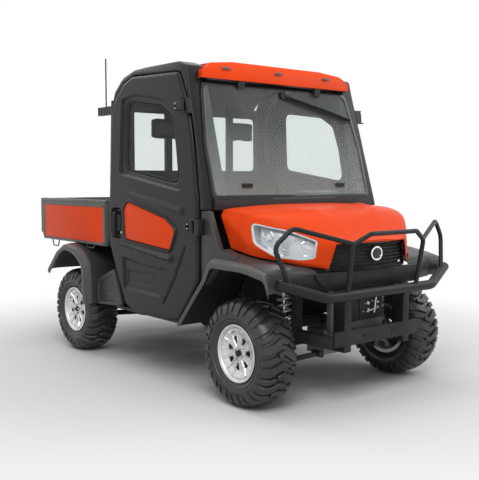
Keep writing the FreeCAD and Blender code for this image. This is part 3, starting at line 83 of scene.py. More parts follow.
glassLook = {  # tint, roughness, IOR, colour of its shadow, then how clear it is at its foot and head
    "cabGlass": ((0.8, 0.85, 0.825), 0.0, 1.12, (0.8, 0.86, 0.82), (0.86, 0.96)),
    "sideGlass": ((0.86, 0.89, 0.87), 0.0, 1.15, (0.86, 0.9, 0.87), None),
    "lampGlass": ((0.96, 0.97, 0.98), 0.02, 1.42, (0.96, 0.97, 0.98), None),
}
patternLook = {
    "broadScale": 3.5, "broadDetail": 5.0, "roughScale": 22.0, "roughDetail": 3.0, "roughChange": 0.14,
    "bumpDetail": 2.0, "bumpDistance": 0.001, "coatRough": 0.06, "noiseReach": (0.3, 0.7),
    "wornEdge": (0.52, 0.6), "wornColour": (0.3, 0.29, 0.28),
    "smearScale": 4.0, "smearDetail": 3.0, "smearShade": 0.97, "hazeLevels": (1.2, 1.7),
}


def plug(tree, socket, value):
    # links a socket to another one, or sets its value
    if isinstance(value, bpy.types.NodeSocket):
        tree.links.new(value, socket)
    else:
        socket.default_value = value


def addNode(tree, kind, inputs, **settings):
    node = tree.nodes.new("ShaderNode" + kind)
    for name, value in settings.items():
        setattr(node, name, value)
    for socket, value in inputs.items():
        plug(tree, node.inputs[socket], value)
    return node


def newMaterial(name):
    made = bpy.data.materials.new(name)
    made.use_nodes = True
    tree = made.node_tree
    return made, tree, tree.nodes["Principled BSDF"]


def objectCoords(tree):
    return addNode(tree, "TexCoord", {}).outputs["Object"]


def noiseNode(tree, coords, scale, detail):
    return addNode(tree, "TexNoise", {"Vector": coords, "Scale": scale, "Detail": detail}).outputs["Fac"]


def rangeNode(tree, value, start, end, low, high, **settings):
    inputs = {"Value": value, "From Min": start, "From Max": end, "To Min": low, "To Max": high}
    return addNode(tree, "MapRange", inputs, **settings).outputs["Result"]


def spread(tree, value, low, high):
    return rangeNode(tree, value, *patternLook["noiseReach"], low, high)


def blendColours(tree, factor, *colours):
    first, second = ((*colour, 1) if isinstance(colour, tuple) else colour for colour in colours)
    inputs = {"Factor": factor, "A": first, "B": second}
    return addNode(tree, "Mix", inputs, data_type="RGBA").outputs["Result"]


def mixShaders(tree, factor, first, second, ending):
    mixed = addNode(tree, "MixShader", {"Fac": factor, 1: first.outputs[0], 2: second.outputs[0]})
    plug(tree, tree.nodes[ending].inputs["Surface"], mixed.outputs["Shader"])


def paintFinish(name, colour, rough, mottle, grain, scale, metal=0.0, coat=0.0, wear=0.0, specular=0.24):
    look = patternLook
    made, tree, shader = newMaterial(name)
    coords = objectCoords(tree)
    broad = noiseNode(tree, coords, look["broadScale"], look["broadDetail"])
    dark = tuple(part * (1 - mottle) for part in colour)
    light = tuple(min(1.0, part * (1 + mottle)) for part in colour)
    tone = blendColours(tree, spread(tree, broad, 0.0, 1.0), dark, light)
    if wear:  # rubbed edges show the primer
        edge = addNode(tree, "NewGeometry", {}).outputs["Pointiness"]
        worn = rangeNode(tree, edge, *look["wornEdge"], 0.0, wear)
        tone = blendColours(tree, worn, tone, look["wornColour"])
    middle = noiseNode(tree, coords, look["roughScale"], look["roughDetail"])
    low, high = rough * (1 - look["roughChange"]), min(1.0, rough * (1 + look["roughChange"]))
    fine = noiseNode(tree, coords, scale, look["bumpDetail"])
    bump = addNode(tree, "Bump", {"Strength": grain, "Distance": look["bumpDistance"], "Height": fine})
    for socket, value in (
        ("Base Color", tone), ("Roughness", spread(tree, middle, low, high)), ("Metallic", metal),
        ("Specular IOR Level", specular), ("Coat Weight", coat), ("Coat Roughness", look["coatRough"]),
        ("Normal", bump.outputs["Normal"]),
    ):
        plug(tree, shader.inputs[socket], value)
    return made


def glassFinish(name, tint, rough, ior, shade, clearness):
    look = patternLook
    made, tree, shader = newMaterial(name)
    coords = objectCoords(tree)
    smear = spread(tree, noiseNode(tree, coords, look["smearScale"], look["smearDetail"]), 0.0, 1.0)
    dark = tuple(part * look["smearShade"] for part in tint)
    passing = 1.0
    if clearness:  # a thin veil, thicker towards the foot of the pane
        level = addNode(tree, "SeparateXYZ", {0: coords}).outputs["Z"]
        passing = rangeNode(tree, level, *look["hazeLevels"], *clearness)
    for socket, value in (
        ("Base Color", blendColours(tree, smear, dark, tint)), ("Roughness", rough), ("IOR", ior),
        ("Transmission Weight", passing),
    ):
        plug(tree, shader.inputs[socket], value)
    clear = addNode(tree, "BsdfTransparent", {"Color": (*shade, 1)})
    shadowRay = addNode(tree, "LightPath", {}).outputs["Is Shadow Ray"]
    mixShaders(tree, shadowRay, shader, clear, "Material Output")
    return made


finishes = {name: paintFinish(name, *look[:5], **look[5]) for name, look in finishLook.items()}
finishes.update({name: glassFinish(name, *look) for name, look in glassLook.items()})
print("finishes made:", len(finishes))


shapeLook = {  # distances in metres, angles in degrees
    "weld": 1e-5, "sharp": 35, "straight": 176, "cornerShare": 0.48, "rollRings": (0.06, 0.2, 0.45, 1.0),
    "sharpestInset": 0.4, "edgeClear": 0.5, "cellShare": 1.6,  # the last two as shares of the spacing
    "flat": 0.02, "bevelFrom": 28,
}


def wear(piece, *names):
    for name in names:
        piece.data.materials.append(finishes[name])


def shadeEdges(mesh, sharp):
    mesh.shade_smooth()
    mesh.set_sharp_from_angle(angle=math.radians(sharp))


def newPiece(name, mesh, finish=None, sharp=shapeLook["sharp"]):
    piece = bpy.data.objects.new(name, mesh)
    bpy.context.scene.collection.objects.link(piece)
    if finish:
        mesh.materials.clear()
        wear(piece, finish)
    shadeEdges(mesh, sharp)
    return piece


def editMesh(mesh, *steps):
    shaped = bmesh.new()
    shaped.from_mesh(mesh)
    for step in steps:
        step(shaped)
    shaped.to_mesh(mesh)
    shaped.free()


def weld(shaped):
    bmesh.ops.remove_doubles(shaped, verts=shaped.verts, dist=shapeLook["weld"])


def faceOut(shaped):
    bmesh.ops.recalc_face_normals(shaped, faces=shaped.faces)


def meshPiece(name, points, faces, finish, sharp=shapeLook["sharp"]):
    mesh = bpy.data.meshes.new(name)
    mesh.from_pydata([tuple(p) for p in points], [], faces)
    mesh.validate()
    editMesh(mesh, faceOut)
    return newPiece(name, mesh, finish, sharp)


def mount(piece, body, slotName, *nodes):
    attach(piece, body)
    if nodes:
        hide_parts(*nodes)
    return piece


def softCorners(points, radius, steps=5, closed=True):
    corners = [Vector(p) for p in points]
    count = len(corners)
    radii = radius if isinstance(radius, (list, tuple)) else [radius] * count
    made = []
    for i, corner in enumerate(corners):
        back = corners[i - 1] - corner
        onward = corners[(i + 1) % count] - corner
        ending = not closed and i in (0, count - 1)
        turn = math.pi if ending else back.angle(onward, math.pi)
        if ending or turn > math.radians(shapeLook["straight"]) or radii[i] <= 0:
            made.append(corner)
            continue
        most = shapeLook["cornerShare"]
        reach = min(radii[i] / math.tan(turn / 2), back.length * most, onward.length * most)
        start = corner + back.normalized() * reach
        end = corner + onward.normalized() * reach
        for k in range(steps + 1):
            t = k / steps
            made.append(start * (1 - t) ** 2 + corner * 2 * t * (1 - t) + end * t * t)
    return made


def resample(points, spacing, closed=True):
    made = []
    count = len(points)
    for i in range(count if closed else count - 1):
        a, b = Vector(points[i]), Vector(points[(i + 1) % count])
        pieces = max(1, round((b - a).length / spacing))
        made += [a.lerp(b, k / pieces) for k in range(pieces)]
    if not closed:
        made.append(Vector(points[-1]))
    return made


def inset(points, distance):
    flat = [Vector(p[:2]) for p in points]
    area = sum(a.x * b.y - b.x * a.y for a, b in zip(flat, flat[1:] + flat[:1]))
    side = 1 if area > 0 else -1
    made = []
    for before, here, after in zip(flat[-1:] + flat[:-1], flat, flat[1:] + flat[:1]):
        runs = (here - before).normalized(), (after - here).normalized()
        normals = [Vector((-run.y, run.x)) * side for run in runs]
        mean = (normals[0] + normals[1]).normalized()
        made.append(here + mean * distance / max(shapeLook["sharpestInset"], mean.dot(normals[0])))
    return made


def circle(radius, count, tall=None, centre=(0, 0)):
    tall = radius if tall is None else tall
    turns = np.linspace(0, math.tau, count, False)
    return [Vector((centre[0] + radius * math.cos(a), centre[1] + tall * math.sin(a))) for a in turns]


def curveMesh(name, loops, cyclic, **settings):
    curve = bpy.data.curves.new(name, "CURVE")
    for key, value in settings.items():
        setattr(curve, key, value)
    for loop in loops:
        spline = curve.splines.new("POLY")
        spline.points.add(len(loop) - 1)
        for point, place in zip(spline.points, loop):
            point.co = (*place, 1)
        spline.use_cyclic_u = cyclic
    holder = bpy.data.objects.new(name + "Curve", curve)
    mesh = bpy.data.meshes.new_from_object(holder)
    bpy.data.objects.remove(holder)
    return mesh


def outlineSolid(name, outline, holes, low, high, bevel, place, finish, steps=2):
    loops = [[(p[0], p[1], 0) for p in loop] for loop in [outline] + list(holes)]
    mesh = curveMesh(
        name, loops, True, dimensions="2D", fill_mode="BOTH", extrude=max(1e-5, (high - low) / 2 - bevel),
        bevel_depth=bevel, bevel_resolution=steps, offset=-bevel,
    )
    for vertex in mesh.vertices:
        vertex.co = place(vertex.co.x, vertex.co.y, vertex.co.z + (high + low) / 2)
    editMesh(mesh, weld, faceOut)
    return newPiece(name, mesh, finish)


def acrossX(u, v, w):
    return Vector((w, u, v))


def acrossY(u, v, w):
    return Vector((u, w, v))


def standing(y):
    # a place function for flat work on a wall that faces backwards
    def place(u, v, w):
        return Vector((u, y + w, v))

    return place


def roundedBox(name, low, high, bevel, finish, steps=3):
    mesh = bpy.data.meshes.new(name)
    size = Vector(high) - Vector(low)
    middle = (Vector(high) + Vector(low)) / 2

    def shape(shaped):
        bmesh.ops.create_cube(shaped, size=1)
        for vertex in shaped.verts:
            vertex.co = Vector(a * b for a, b in zip(vertex.co, size)) + middle
        edges = shaped.edges[:]
        bmesh.ops.bevel(shaped, geom=edges, offset=bevel, segments=steps, affect="EDGES", profile=0.5)

    editMesh(mesh, shape)
    return newPiece(name, mesh, finish)


def sideBox(name, side, across, along, up, bevel, finish):
    # a box on one side of the vehicle, given its reach from the middle
    near, far = sorted(side * x for x in across)
    return roundedBox(name, (near, along[0], up[0]), (far, along[1], up[1]), bevel, finish)


def pipePiece(name, points, radius, finish, bend=0.0, sides=10):
    route = [Vector(p) for p in points]
    if bend:
        route = softCorners(route, bend, 6, False)
    mesh = curveMesh(
        name, [route], False, dimensions="3D", bevel_depth=radius, bevel_resolution=max(1, sides // 4),
        use_fill_caps=True,
    )
    return newPiece(name, mesh, finish, 50)


def turnedMesh(profile, centre, axis, steps=48, closed=True):
    turn = Vector((0, 0, 1)).rotation_difference(Vector(axis)).to_matrix()
    points, faces = [], []
    count = len(profile)
    for k in range(steps):
        angle = 2 * math.pi * k / steps
        for radius, along in profile:
            spot = Vector((radius * math.cos(angle), radius * math.sin(angle), along))
            points.append(turn @ spot + Vector(centre))
        after = (k + 1) % steps
        for i in range(count if closed else count - 1):
            j = (i + 1) % count
            faces.append((k * count + i, after * count + i, after * count + j, k * count + j))
    return points, faces


def turnedPiece(name, profile, centre, axis, finish, steps=48, closed=True):
    points, faces = turnedMesh(profile, centre, axis, steps, closed)
    return meshPiece(name, points, faces, finish)


def mergePieces(name, pieces):
    points, faces, slots, finishNames = [], [], [], []
    for piece in pieces:
        start = len(points)
        points += [piece.matrix_world @ v.co for v in piece.data.vertices]
        names = [m.name for m in piece.data.materials]
        finishNames += [used for used in dict.fromkeys(names) if used not in finishNames]
        for face in piece.data.polygons:
            faces.append([start + i for i in face.vertices])
            slots.append(finishNames.index(names[face.material_index]))
    mesh = bpy.data.meshes.new(name)
    mesh.from_pydata(points, [], faces)
    for used in finishNames:
        mesh.materials.append(finishes[used])
    mesh.polygons.foreach_set("material_index", slots)
    for piece in pieces:
        bpy.data.objects.remove(piece)
    return newPiece(name, mesh)


def segmentReach(points, a, b):
    run = b - a
    t = np.clip(((points - a) @ run) / max(1e-12, run @ run), 0, 1)
    return np.hypot(*(points - a - t[:, None] * run).T)


def lineDistance(points, line):
    corners = np.array([tuple(p)[:2] for p in line])
    return np.min([segmentReach(points, a, b) for a, b in zip(corners, corners[1:])], axis=0)


def signedDistance(points, loop):
    corners = np.array([tuple(p)[:2] for p in loop])
    nearest = np.full(len(points), 1e9)
    inside = np.zeros(len(points), bool)
    for a, b in zip(corners, np.roll(corners, -1, axis=0)):
        nearest = np.minimum(nearest, segmentReach(points, a, b))
        crosses = (a[1] > points[:, 1]) != (b[1] > points[:, 1])
        with np.errstate(divide="ignore", invalid="ignore"):
            reach = (b[0] - a[0]) * (points[:, 1] - a[1]) / (b[1] - a[1]) + a[0]
        inside ^= crosses & (points[:, 0] < reach)
    return np.where(inside, nearest, -nearest)


def panelReach(points, borders):
    # how far each point lies inside the panel's edge and outside its holes
    reach = signedDistance(points, borders[0])
    for hole in borders[1:]:
        reach = np.minimum(reach, -signedDistance(points, hole))
    return reach


def smoothStep(value):
    t = np.clip(value, 0, 1)
    return t * t * (3 - 2 * t)


def edgeRoll(distance, radius):
    near = np.clip(distance / radius, 0, 1)
    return -radius * (1 - np.sqrt(np.clip(1 - (1 - near) ** 2, 0, 1)))


foldKeys = ("top", "ridge", "bottom")


def foldHeight(uv, fold):
    # a folded strip: level at its top and bottom lines, raised along the ridge between them
    top, ridge, bottom = (np.array(sorted(fold[key])) for key in foldKeys)
    u, v = uv.T
    crest, rise = (np.interp(u, ridge[:, 0], ridge[:, k]) for k in (1, 2))
    upper, lower = (np.interp(u, line[:, 0], line[:, 1]) for line in (top, bottom))
    share = np.where(v >= crest, (upper - v) / (upper - crest), (v - lower) / (crest - lower))
    ends = np.minimum(u - ridge[0, 0], ridge[-1, 0] - u) / fold["ease"]
    return rise * np.clip(share, 0, 1) * np.clip(ends, 0, 1)


def mouldedPiece(name, borders, areas, lines, spacing, roll, back, place, finish, lift=None, folds=()):
    # borders are the outline and its holes, areas raise or sink a closed loop, lines raise a ridge,
    # and roll rounds the edges towards the back
    borders = [resample(loop, spacing) for loop in borders]
    guides = list(borders)
    for border in borders:
        turned = 1 if border is borders[0] else -1
        guides += [inset(border, turned * roll * part) for part in shapeLook["rollRings"] if roll]
    for loop, height, ramp in areas:
        shape = resample(loop, spacing)
        guides += [shape, inset(shape, ramp)]
    closedCount = len(guides)
    guides += [resample([p[:2] for p in fold[key]], spacing, False) for fold in folds for key in foldKeys]
    flat = [Vector(p) for loop in guides for p in loop]
    edges, start = [], 0
    for index, loop in enumerate(guides):
        count = len(loop)
        sides = count if index < closedCount else count - 1
        edges += [(start + i, start + (i + 1) % count) for i in range(sides)]
        start += count
    edge = np.array([tuple(p) for p in flat])
    low, high = edge.min(0), edge.max(0)
    across, up = (int(reach / spacing) + 1 for reach in high - low)
    steps = [(i, k) for i in range(across) for k in range(up)]
    grid = low + np.array(steps) * spacing
    grid = grid[panelReach(grid, borders) > spacing * shapeLook["edgeClear"]]

    def cell(spot):
        return tuple(round(part / spacing * shapeLook["cellShare"]) for part in spot)

    taken = {cell(spot) for spot in edge}
    grid = [Vector(spot) for spot in grid if cell(spot) not in taken]
    points, _, faces, *_ = delaunay_2d_cdt(flat + grid, edges, [], 0, 1e-6)
    uv = np.array([tuple(p) for p in points])
    keep = panelReach(uv[np.array(faces)].mean(1), borders) > 0
    faces = [face for face, kept in zip(faces, keep) if kept]
    used = sorted({i for face in faces for i in face})
    index = {old: new for new, old in enumerate(used)}
    faces = [tuple(index[i] for i in face) for face in faces]
    uv = uv[used]
    height = lift(uv) if lift else np.zeros(len(uv))
    for loop, rise, ramp in areas:
        height += rise * np.clip(signedDistance(uv, loop) / ramp, 0, 1)
    for fold in folds:
        height += foldHeight(uv, fold)
    for line, rise, width in lines:
        height += rise * (1 - smoothStep(lineDistance(uv, line) / width))
    if roll:
        height += edgeRoll(panelReach(uv, borders), roll)
    count = len(uv)
    solid = [place(u, v, h) for (u, v), h in zip(uv, height)] + [place(u, v, back) for u, v in uv]
    sides = [pair for face in faces for pair in zip(face, face[1:] + face[:1])]
    paired = set(sides)
    rim = [(a, b) for a, b in sides if (b, a) not in paired]
    closed = faces + [tuple(count + i for i in reversed(face)) for face in faces]
    closed += [(b, a, count + a, count + b) for a, b in rim]
    return meshPiece(name, solid, closed, finish, 30)


def sweepCurve(points, steps, creases=()):
    # a smooth line through the points, broken at the creases
    places = [Vector(p) for p in points]
    last = len(places) - 1
    made = []
    for i in range(last):
        a, b = places[i], places[i + 1]
        before = places[i - 1] if i > 0 and i not in creases else a * 2 - b
        after = places[i + 2] if i + 2 <= last and i + 1 not in creases else b * 2 - a
        first = b - before
        second = 2 * before - 5 * a + 4 * b - after
        third = 3 * a - before - 3 * b + after
        for k in range(steps):
            t = k / steps
            made.append(0.5 * (2 * a + first * t + second * t * t + third * t * t * t))
    made.append(places[-1])
    return made


def loftGrid(sections, alongSteps, acrossSteps, acrossCreases=()):
    columns = [sweepCurve(column, alongSteps) for column in zip(*sections)]
    return [sweepCurve(row, acrossSteps, acrossCreases) for row in zip(*columns)]


def gridMesh(rows, closedAcross=False):
    width = len(rows[0])
    points = [p for row in rows for p in row]
    faces = []
    for r in range(len(rows) - 1):
        for c in range(width if closedAcross else width - 1):
            d = (c + 1) % width
            faces.append((r * width + c, r * width + d, (r + 1) * width + d, (r + 1) * width + c))
    return points, faces


def applied(piece, sharp=40):
    # bakes the modifiers into the mesh
    graph = bpy.context.evaluated_depsgraph_get()
    graph.update()
    mesh = bpy.data.meshes.new_from_object(piece.evaluated_get(graph))
    old = piece.data
    piece.modifiers.clear()
    piece.data = mesh
    bpy.data.meshes.remove(old)
    shadeEdges(mesh, sharp)
    return piece


def modify(piece, kind, **settings):
    modifier = piece.modifiers.new(kind.lower(), kind)
    for key, value in settings.items():
        setattr(modifier, key, value)
    return modifier


def shellPiece(name, rows, thickness, finish, offset=-1.0, sharp=40):
    piece = meshPiece(name, *gridMesh(rows), finish, sharp)
    modify(piece, "SOLIDIFY", thickness=thickness, offset=offset, use_even_offset=True)
    return applied(piece, sharp)


def carve(piece, tools, operation="DIFFERENCE", sharp=40):
    for tool in tools:
        modify(piece, "BOOLEAN", operation=operation, solver="EXACT", object=tool)
    applied(piece, sharp)
    for tool in tools:
        bpy.data.objects.remove(tool)
    return piece


def softCopy(name, node, finish, bevel, body="vehicle", sharp=40, segments=3, keep=False):
    # the node's shape with its hard edges rounded
    mesh = cadNodes[node].data.copy()

    def flatten(shaped):
        bmesh.ops.dissolve_limit(
            shaped, angle_limit=shapeLook["flat"], verts=shaped.verts, edges=shaped.edges, delimit=set()
        )

    editMesh(mesh, weld, flatten)
    piece = newPiece(name, mesh, finish, sharp)
    modify(
        piece, "BEVEL", width=bevel, segments=segments, limit_method="ANGLE",
        angle_limit=math.radians(shapeLook["bevelFrom"]), use_clamp_overlap=True,
    )
    applied(piece, sharp)
    return piece if keep else mount(piece, body, nodeSlots[node], node)


print("tools ready")


tyreLook = {
    "pitches": 15, "treadDepth": 0.0165, "steps": 80,
    "profile": [  # across from the middle, drop below the tread
        (0.0, 0.0165), (0.05, 0.018), (0.082, 0.024), (0.103, 0.036), (0.116, 0.056),
        (0.1205, 0.08), (0.1175, 0.106), (0.108, 0.128), (0.1, 0.139),
    ],
    "bead": [(0.146, 0.094), (0.148, -0.094)],
    "lugs": [  # along the profile, round the tread, half width
        [
            (0.004, -0.036, 0.018), (0.03, -0.022, 0.0215), (0.06, -0.004, 0.0245), (0.09, 0.008, 0.027),
            (0.115, 0.013, 0.0285), (0.138, 0.016, 0.0275), (0.156, 0.017, 0.022),
        ],
        [
            (0.05, 0.058, 0.0125), (0.072, 0.068, 0.0155), (0.1, 0.077, 0.0175), (0.125, 0.081, 0.0175),
            (0.144, 0.083, 0.014),
        ],
        [(-0.014, 0.029, 0.0125), (0.008, 0.035, 0.0155), (0.034, 0.042, 0.0145)],
    ],
    "fade": 0.55, "fadeFrom": 0.075, "fadeOver": 0.08,
    "tip": 0.005, "tipWidth": 0.6, "foot": 0.003, "shoulder": 0.8, "bevel": 0.0025,
    "rings": [(0.206, 0.0035), (0.232, 0.0025)], "ringSink": -0.004, "ringRise": 0.0022,  # on the sidewalls
    "turns": {"front": 0.35, "rear": 0.9},
}


def treadPoint(line, along, around, height, radius):
    points, lengths = line
    side = -1 if along < 0 else 1
    along = abs(along)
    k = max(i for i in range(len(lengths)) if lengths[i] <= along or i == 0)
    k = min(k, len(lengths) - 2)
    a, b = points[k], points[k + 1]
    here = a.lerp(b, (along - lengths[k]) / (lengths[k + 1] - lengths[k]))
    run = (b - a).normalized()
    across, level = here + Vector((-run.y, run.x)) * height
    angle = around / radius
    return side * across, level * math.sin(angle), level * math.cos(angle)


def lugMesh(line, stations, shift, side, radius, points, faces):
    look = tyreLook
    start = len(points)
    (firstAlong, firstAround, firstHalf), (lastAlong, lastAround, lastHalf) = stations[0], stations[-1]
    tip, thin = look["tip"], look["tipWidth"]
    head = (firstAlong - tip, firstAround, firstHalf * thin)
    tail = (lastAlong + tip, lastAround, lastHalf * thin)
    for along, around, half in [head] + stations + [tail]:
        fade = smoothStep((abs(along) - look["fadeFrom"]) / look["fadeOver"])
        depth = look["treadDepth"] * (1 - look["fade"] * fade)
        foot, shoulder = look["foot"], depth * look["shoulder"]
        rows = ((-half - foot, -foot), (-half, shoulder), (-half + look["bevel"], depth))
        rows += tuple((-reach, height) for reach, height in reversed(rows))
        for reach, height in rows:
            x, y, z = treadPoint(line, along, around + reach + shift, height, radius)
            points.append(Vector((x * side, y, z)))
    wide, last = len(rows), len(stations) + 1
    for row in range(last):
        a = start + row * wide
        faces += [(a + k, a + k + 1, a + wide + k + 1, a + wide + k) for k in range(wide - 1)]
    faces.append(tuple(start + k for k in range(wide)))
    faces.append(tuple(start + last * wide + k for k in reversed(range(wide))))


def tyreMesh(radius):
    look = tyreLook
    curve = sweepCurve([Vector((x, radius - drop)) for x, drop in look["profile"]], 4)
    lengths = [0.0]
    for a, b in zip(curve, curve[1:]):
        lengths.append(lengths[-1] + (b - a).length)
    outer = [(p.y, p.x) for p in curve]
    inner = [(r, -x) for r, x in reversed(outer[1:])]
    bead = [(radius - drop, x) for drop, x in look["bead"]]
    points, faces = turnedMesh(inner + outer + bead, (0, 0, 0), (1, 0, 0), look["steps"])
    pitch = 2 * math.pi * radius / look["pitches"]
    for side, offset in ((1, 0.0), (-1, 0.5)):
        for k in range(look["pitches"]):
            for lug in look["lugs"]:
                lugMesh((curve, lengths), lug, (k + offset) * pitch, side, radius, points, faces)
    for level, wide in look["rings"]:
        across = next(a.x for a in curve[::-1] if a.y >= level)
        for side in (1, -1):
            steps = ((-wide, look["ringSink"]), (0, look["ringRise"]), (wide, look["ringSink"]))
            ring = [(level + up, side * (across + out)) for up, out in steps]
            more, rest = turnedMesh(ring, (0, 0, 0), (1, 0, 0), look["steps"])
            faces += [tuple(len(points) + i for i in face) for face in rest]
            points += more
    return points, faces


rimLook = {
    "radius": 0.1485, "windows": 7, "faceOffset": 0.0755, "ridge": 0.007, "spoke": 0.0035,
    "spacing": 0.0065, "back": -0.012, "pocketSlopes": (0.3, -0.5), "valveRadius": 0.003,
    "window": [
        (-0.007, 0.06), (0.007, 0.06), (0.017, 0.094), (0.009, 0.102), (-0.009, 0.102), (-0.017, 0.094),
    ],
    "spokeFoot": (0.012, 0.0065, 0.04), "spokeHead": (0.033, 0.008, 0.139),  # lean, half width, reach
    "hub": (0.046, 0.004), "dish": (0.016, 0.1, 0.048), "pocket": (0.055, 0.106),
    "nuts": 4, "nutPlace": (0.078, 0.033), "capPlace": 0.076,
    "nut": [(0.0, 0.0), (0.0085, 0.0), (0.0085, 0.012), (0.0055, 0.016), (0.0, 0.016)],
    "cap": [(0.0, 0.0), (0.02, 0.0), (0.02, 0.01), (0.017, 0.016), (0.008, 0.0185), (0.0, 0.019)],
    "valve": [(0.086, 0.0, 0.128), (0.1, 0.0, 0.121)],
    "lip": [  # radius and offset of the barrel and its outer lip
        (0.149, -0.1015), (0.171, -0.1015), (0.171, -0.096), (0.156, -0.09), (0.156, 0.09),
        (0.168, 0.0985), (0.1715, 0.1022), (0.168, 0.1045), (0.16, 0.1035), (0.153, 0.098),
        (0.148, 0.085), (0.147, 0.05), (0.149, 0.04),
    ],
}


def turnedLoop(loop, angle):
    c, s = math.cos(angle), math.sin(angle)
    return [Vector((c * u - s * v, s * u + c * v)) for u, v in [p[:2] for p in loop]]


def makeRim():
    look = rimLook
    window = softCorners(look["window"], 0.005, 3)
    holes, areas = [], []
    (footLean, footHalf, footReach), (headLean, headHalf, headReach) = look["spokeFoot"], look["spokeHead"]
    for k in range(look["windows"]):
        angle = 2 * math.pi * k / look["windows"]
        holes.append(turnedLoop(window, angle)[::-1])
        for lean in (-1, 1):
            foot, head = lean * footLean, lean * headLean
            arm = [(foot - footHalf, footReach), (foot + footHalf, footReach)]
            arm += [(head + headHalf, headReach), (head - headHalf, headReach)]
            areas.append((turnedLoop(softCorners(arm, 0.004, 3), angle), look["ridge"], look["spoke"]))
    areas.append((circle(look["hub"][0], 39), look["hub"][1], look["hub"][1]))

    def dish(uv):
        depth, start, over = look["dish"]
        return depth * smoothStep((np.hypot(uv[:, 0], uv[:, 1]) - start) / over)

    def facing(u, v, h):
        return Vector((look["faceOffset"] + h, u, v))

    borders = [circle(look["radius"], 71)] + holes
    sizes = (look["spacing"], 0.0, look["back"])
    disc = mouldedPiece("rimDisc", borders, areas, [], *sizes, facing, "rimBright", dish)
    wear(disc, "rimPocket")
    near, far = look["pocket"]
    steep, behind = look["pocketSlopes"]
    for face in disc.data.polygons:
        middle, slope = face.center, face.normal.x
        inside = near < math.hypot(middle.y, middle.z) < far and middle.x < look["faceOffset"] - 0.001
        if abs(slope) < steep and inside or slope < behind:
            face.material_index = 1
    wheelAxis = (1, 0, 0)
    barrel = turnedPiece("rimBarrel", look["lip"], (0, 0, 0), wheelAxis, "rimBright", 72)
    out, reach = look["nutPlace"]
    nuts = []
    for k in range(look["nuts"]):
        angle = 2 * math.pi * (k + 0.5) / look["nuts"]
        centre = (out, reach * math.cos(angle), reach * math.sin(angle))
        nuts.append(turnedPiece("nut", look["nut"], centre, wheelAxis, "zincSteel", 6, False))
    cap = turnedPiece("hubCap", look["cap"], (look["capPlace"], 0, 0), wheelAxis, "satinBlack", 32, False)
    valve = pipePiece("valve", look["valve"], look["valveRadius"], "gripRubber")
    return mergePieces("rimModel", [disc, barrel, cap, valve] + nuts)


def makeWheels():
    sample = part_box("tyre_front_left")
    radius = (sample[1].z - sample[0].z) / 2
    tyre = meshPiece("tyreModel", *tyreMesh(radius), "tyreRubber", 30)
    rim = makeRim()
    for end, turn in tyreLook["turns"].items():
        for side in ("left", "right"):
            low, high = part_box(f"tyre_{end}_{side}")
            for kind, model, slotName in (("tyre", tyre, "tyre_rubber"), ("rim", rim, "rim_alloy")):
                piece = bpy.data.objects.new(f"{kind}-{end}-{side}", model.data)
                bpy.context.scene.collection.objects.link(piece)
                piece.location = (low + high) / 2
                piece.rotation_euler = (turn, 0, 0 if side == "left" else math.pi)
                mount(piece, f"wheel_{end}_{side}", slotName, f"{kind}_{end}_{side}")
    bpy.data.objects.remove(tyre)
    bpy.data.objects.remove(rim)


makeWheels()
print("wheels made")


doorLook = {  # along from the front edge and height over the door's foot, in metres
    "outline": [
        (0.0, 0.295), (0.205, 0.035), (0.705, 0.0), (0.865, 0.055), (1.045, 0.395), (1.067, 0.495),
        (1.067, 1.3545), (1.027, 1.4675), (0.91, 1.5745), (0.8, 1.6125), (0.265, 1.5905), (0.235, 1.5795),
        (0.163, 1.4405), (0.107, 1.2955), (0.075, 1.1815), (0.025, 0.895), (0.0, 0.795),
    ],
    "corners": [0.05, 0.05, 0.14, 0.05, 0.08, 0.06] + [0.1] * 5 + [0.035, 0.1] + [0.2] * 4,
    "window": [
        (0.87, 1.4545), (0.45, 1.3945), (0.325, 1.3195), (0.268, 1.1545), (0.218, 0.89), (0.865, 0.985),
    ],
    "windowCorner": 0.065,
    "surround": [
        (0.93, 1.475), (0.77, 1.497), (0.43, 1.442), (0.302, 1.358), (0.246, 1.16), (0.165, 0.835),
        (0.936, 0.955),
    ],
    "inlay": [(0.803, 0.77), (0.858, 0.718), (0.844, 0.51), (0.299, 0.469), (0.232, 0.602), (0.35, 0.673)],
    "lowerPlate": [(0.88, 0.163), (0.43, 0.15), (0.342, 0.275), (0.352, 0.35), (0.613, 0.36), (0.9, 0.39)],
    "lowerStep": [(0.84, 0.205), (0.522, 0.212), (0.472, 0.265), (0.486, 0.3), (0.85, 0.3)],
    "valley": [(0.127, 0.504), (0.248, 0.291), (0.373, 0.126)],
    "pocket": [(0.896, 0.507), (1.045, 0.507), (1.045, 0.724), (0.896, 0.724)],
    "folds": [
        {
            "top": [(0.14, 0.752), (0.8, 0.846)],
            "ridge": [(0.14, 0.715, 0.018), (0.8, 0.838, 0.004)],
            "bottom": [(0.14, 0.685), (0.8, 0.828)],
            "ease": 0.02,
        },
        {
            "top": [(0.262, 0.448), (0.611, 0.468), (0.99, 0.492)],
            "ridge": [(0.262, 0.41, 0.024), (0.611, 0.444, 0.015), (0.99, 0.483, 0.004)],
            "bottom": [(0.262, 0.385), (0.611, 0.428), (0.99, 0.474)],
            "ease": 0.02,
        },
    ],
    "spacing": 0.012, "wall": 0.038, "roll": 0.018,
    "lean": 0.0375, "belt": 0.795,  # the door leans inwards over the belt line
    "levels": [  # shape, how far it is inset, corner, steps, height, slope
        ("surround", 0, 0.05, 6, -0.016, 0.016),
        ("inlay", -0.017, 0.055, 6, 0.011, 0.006),
        ("inlay", -0.002, 0.042, 6, -0.013, 0.005),
        ("lowerPlate", 0, 0.02, 4, -0.014, 0.02),
        ("lowerStep", 0, 0.012, 4, -0.006, 0.01),
        ("pocket", 0, 0.045, 6, -0.027, 0.014),
    ],
}


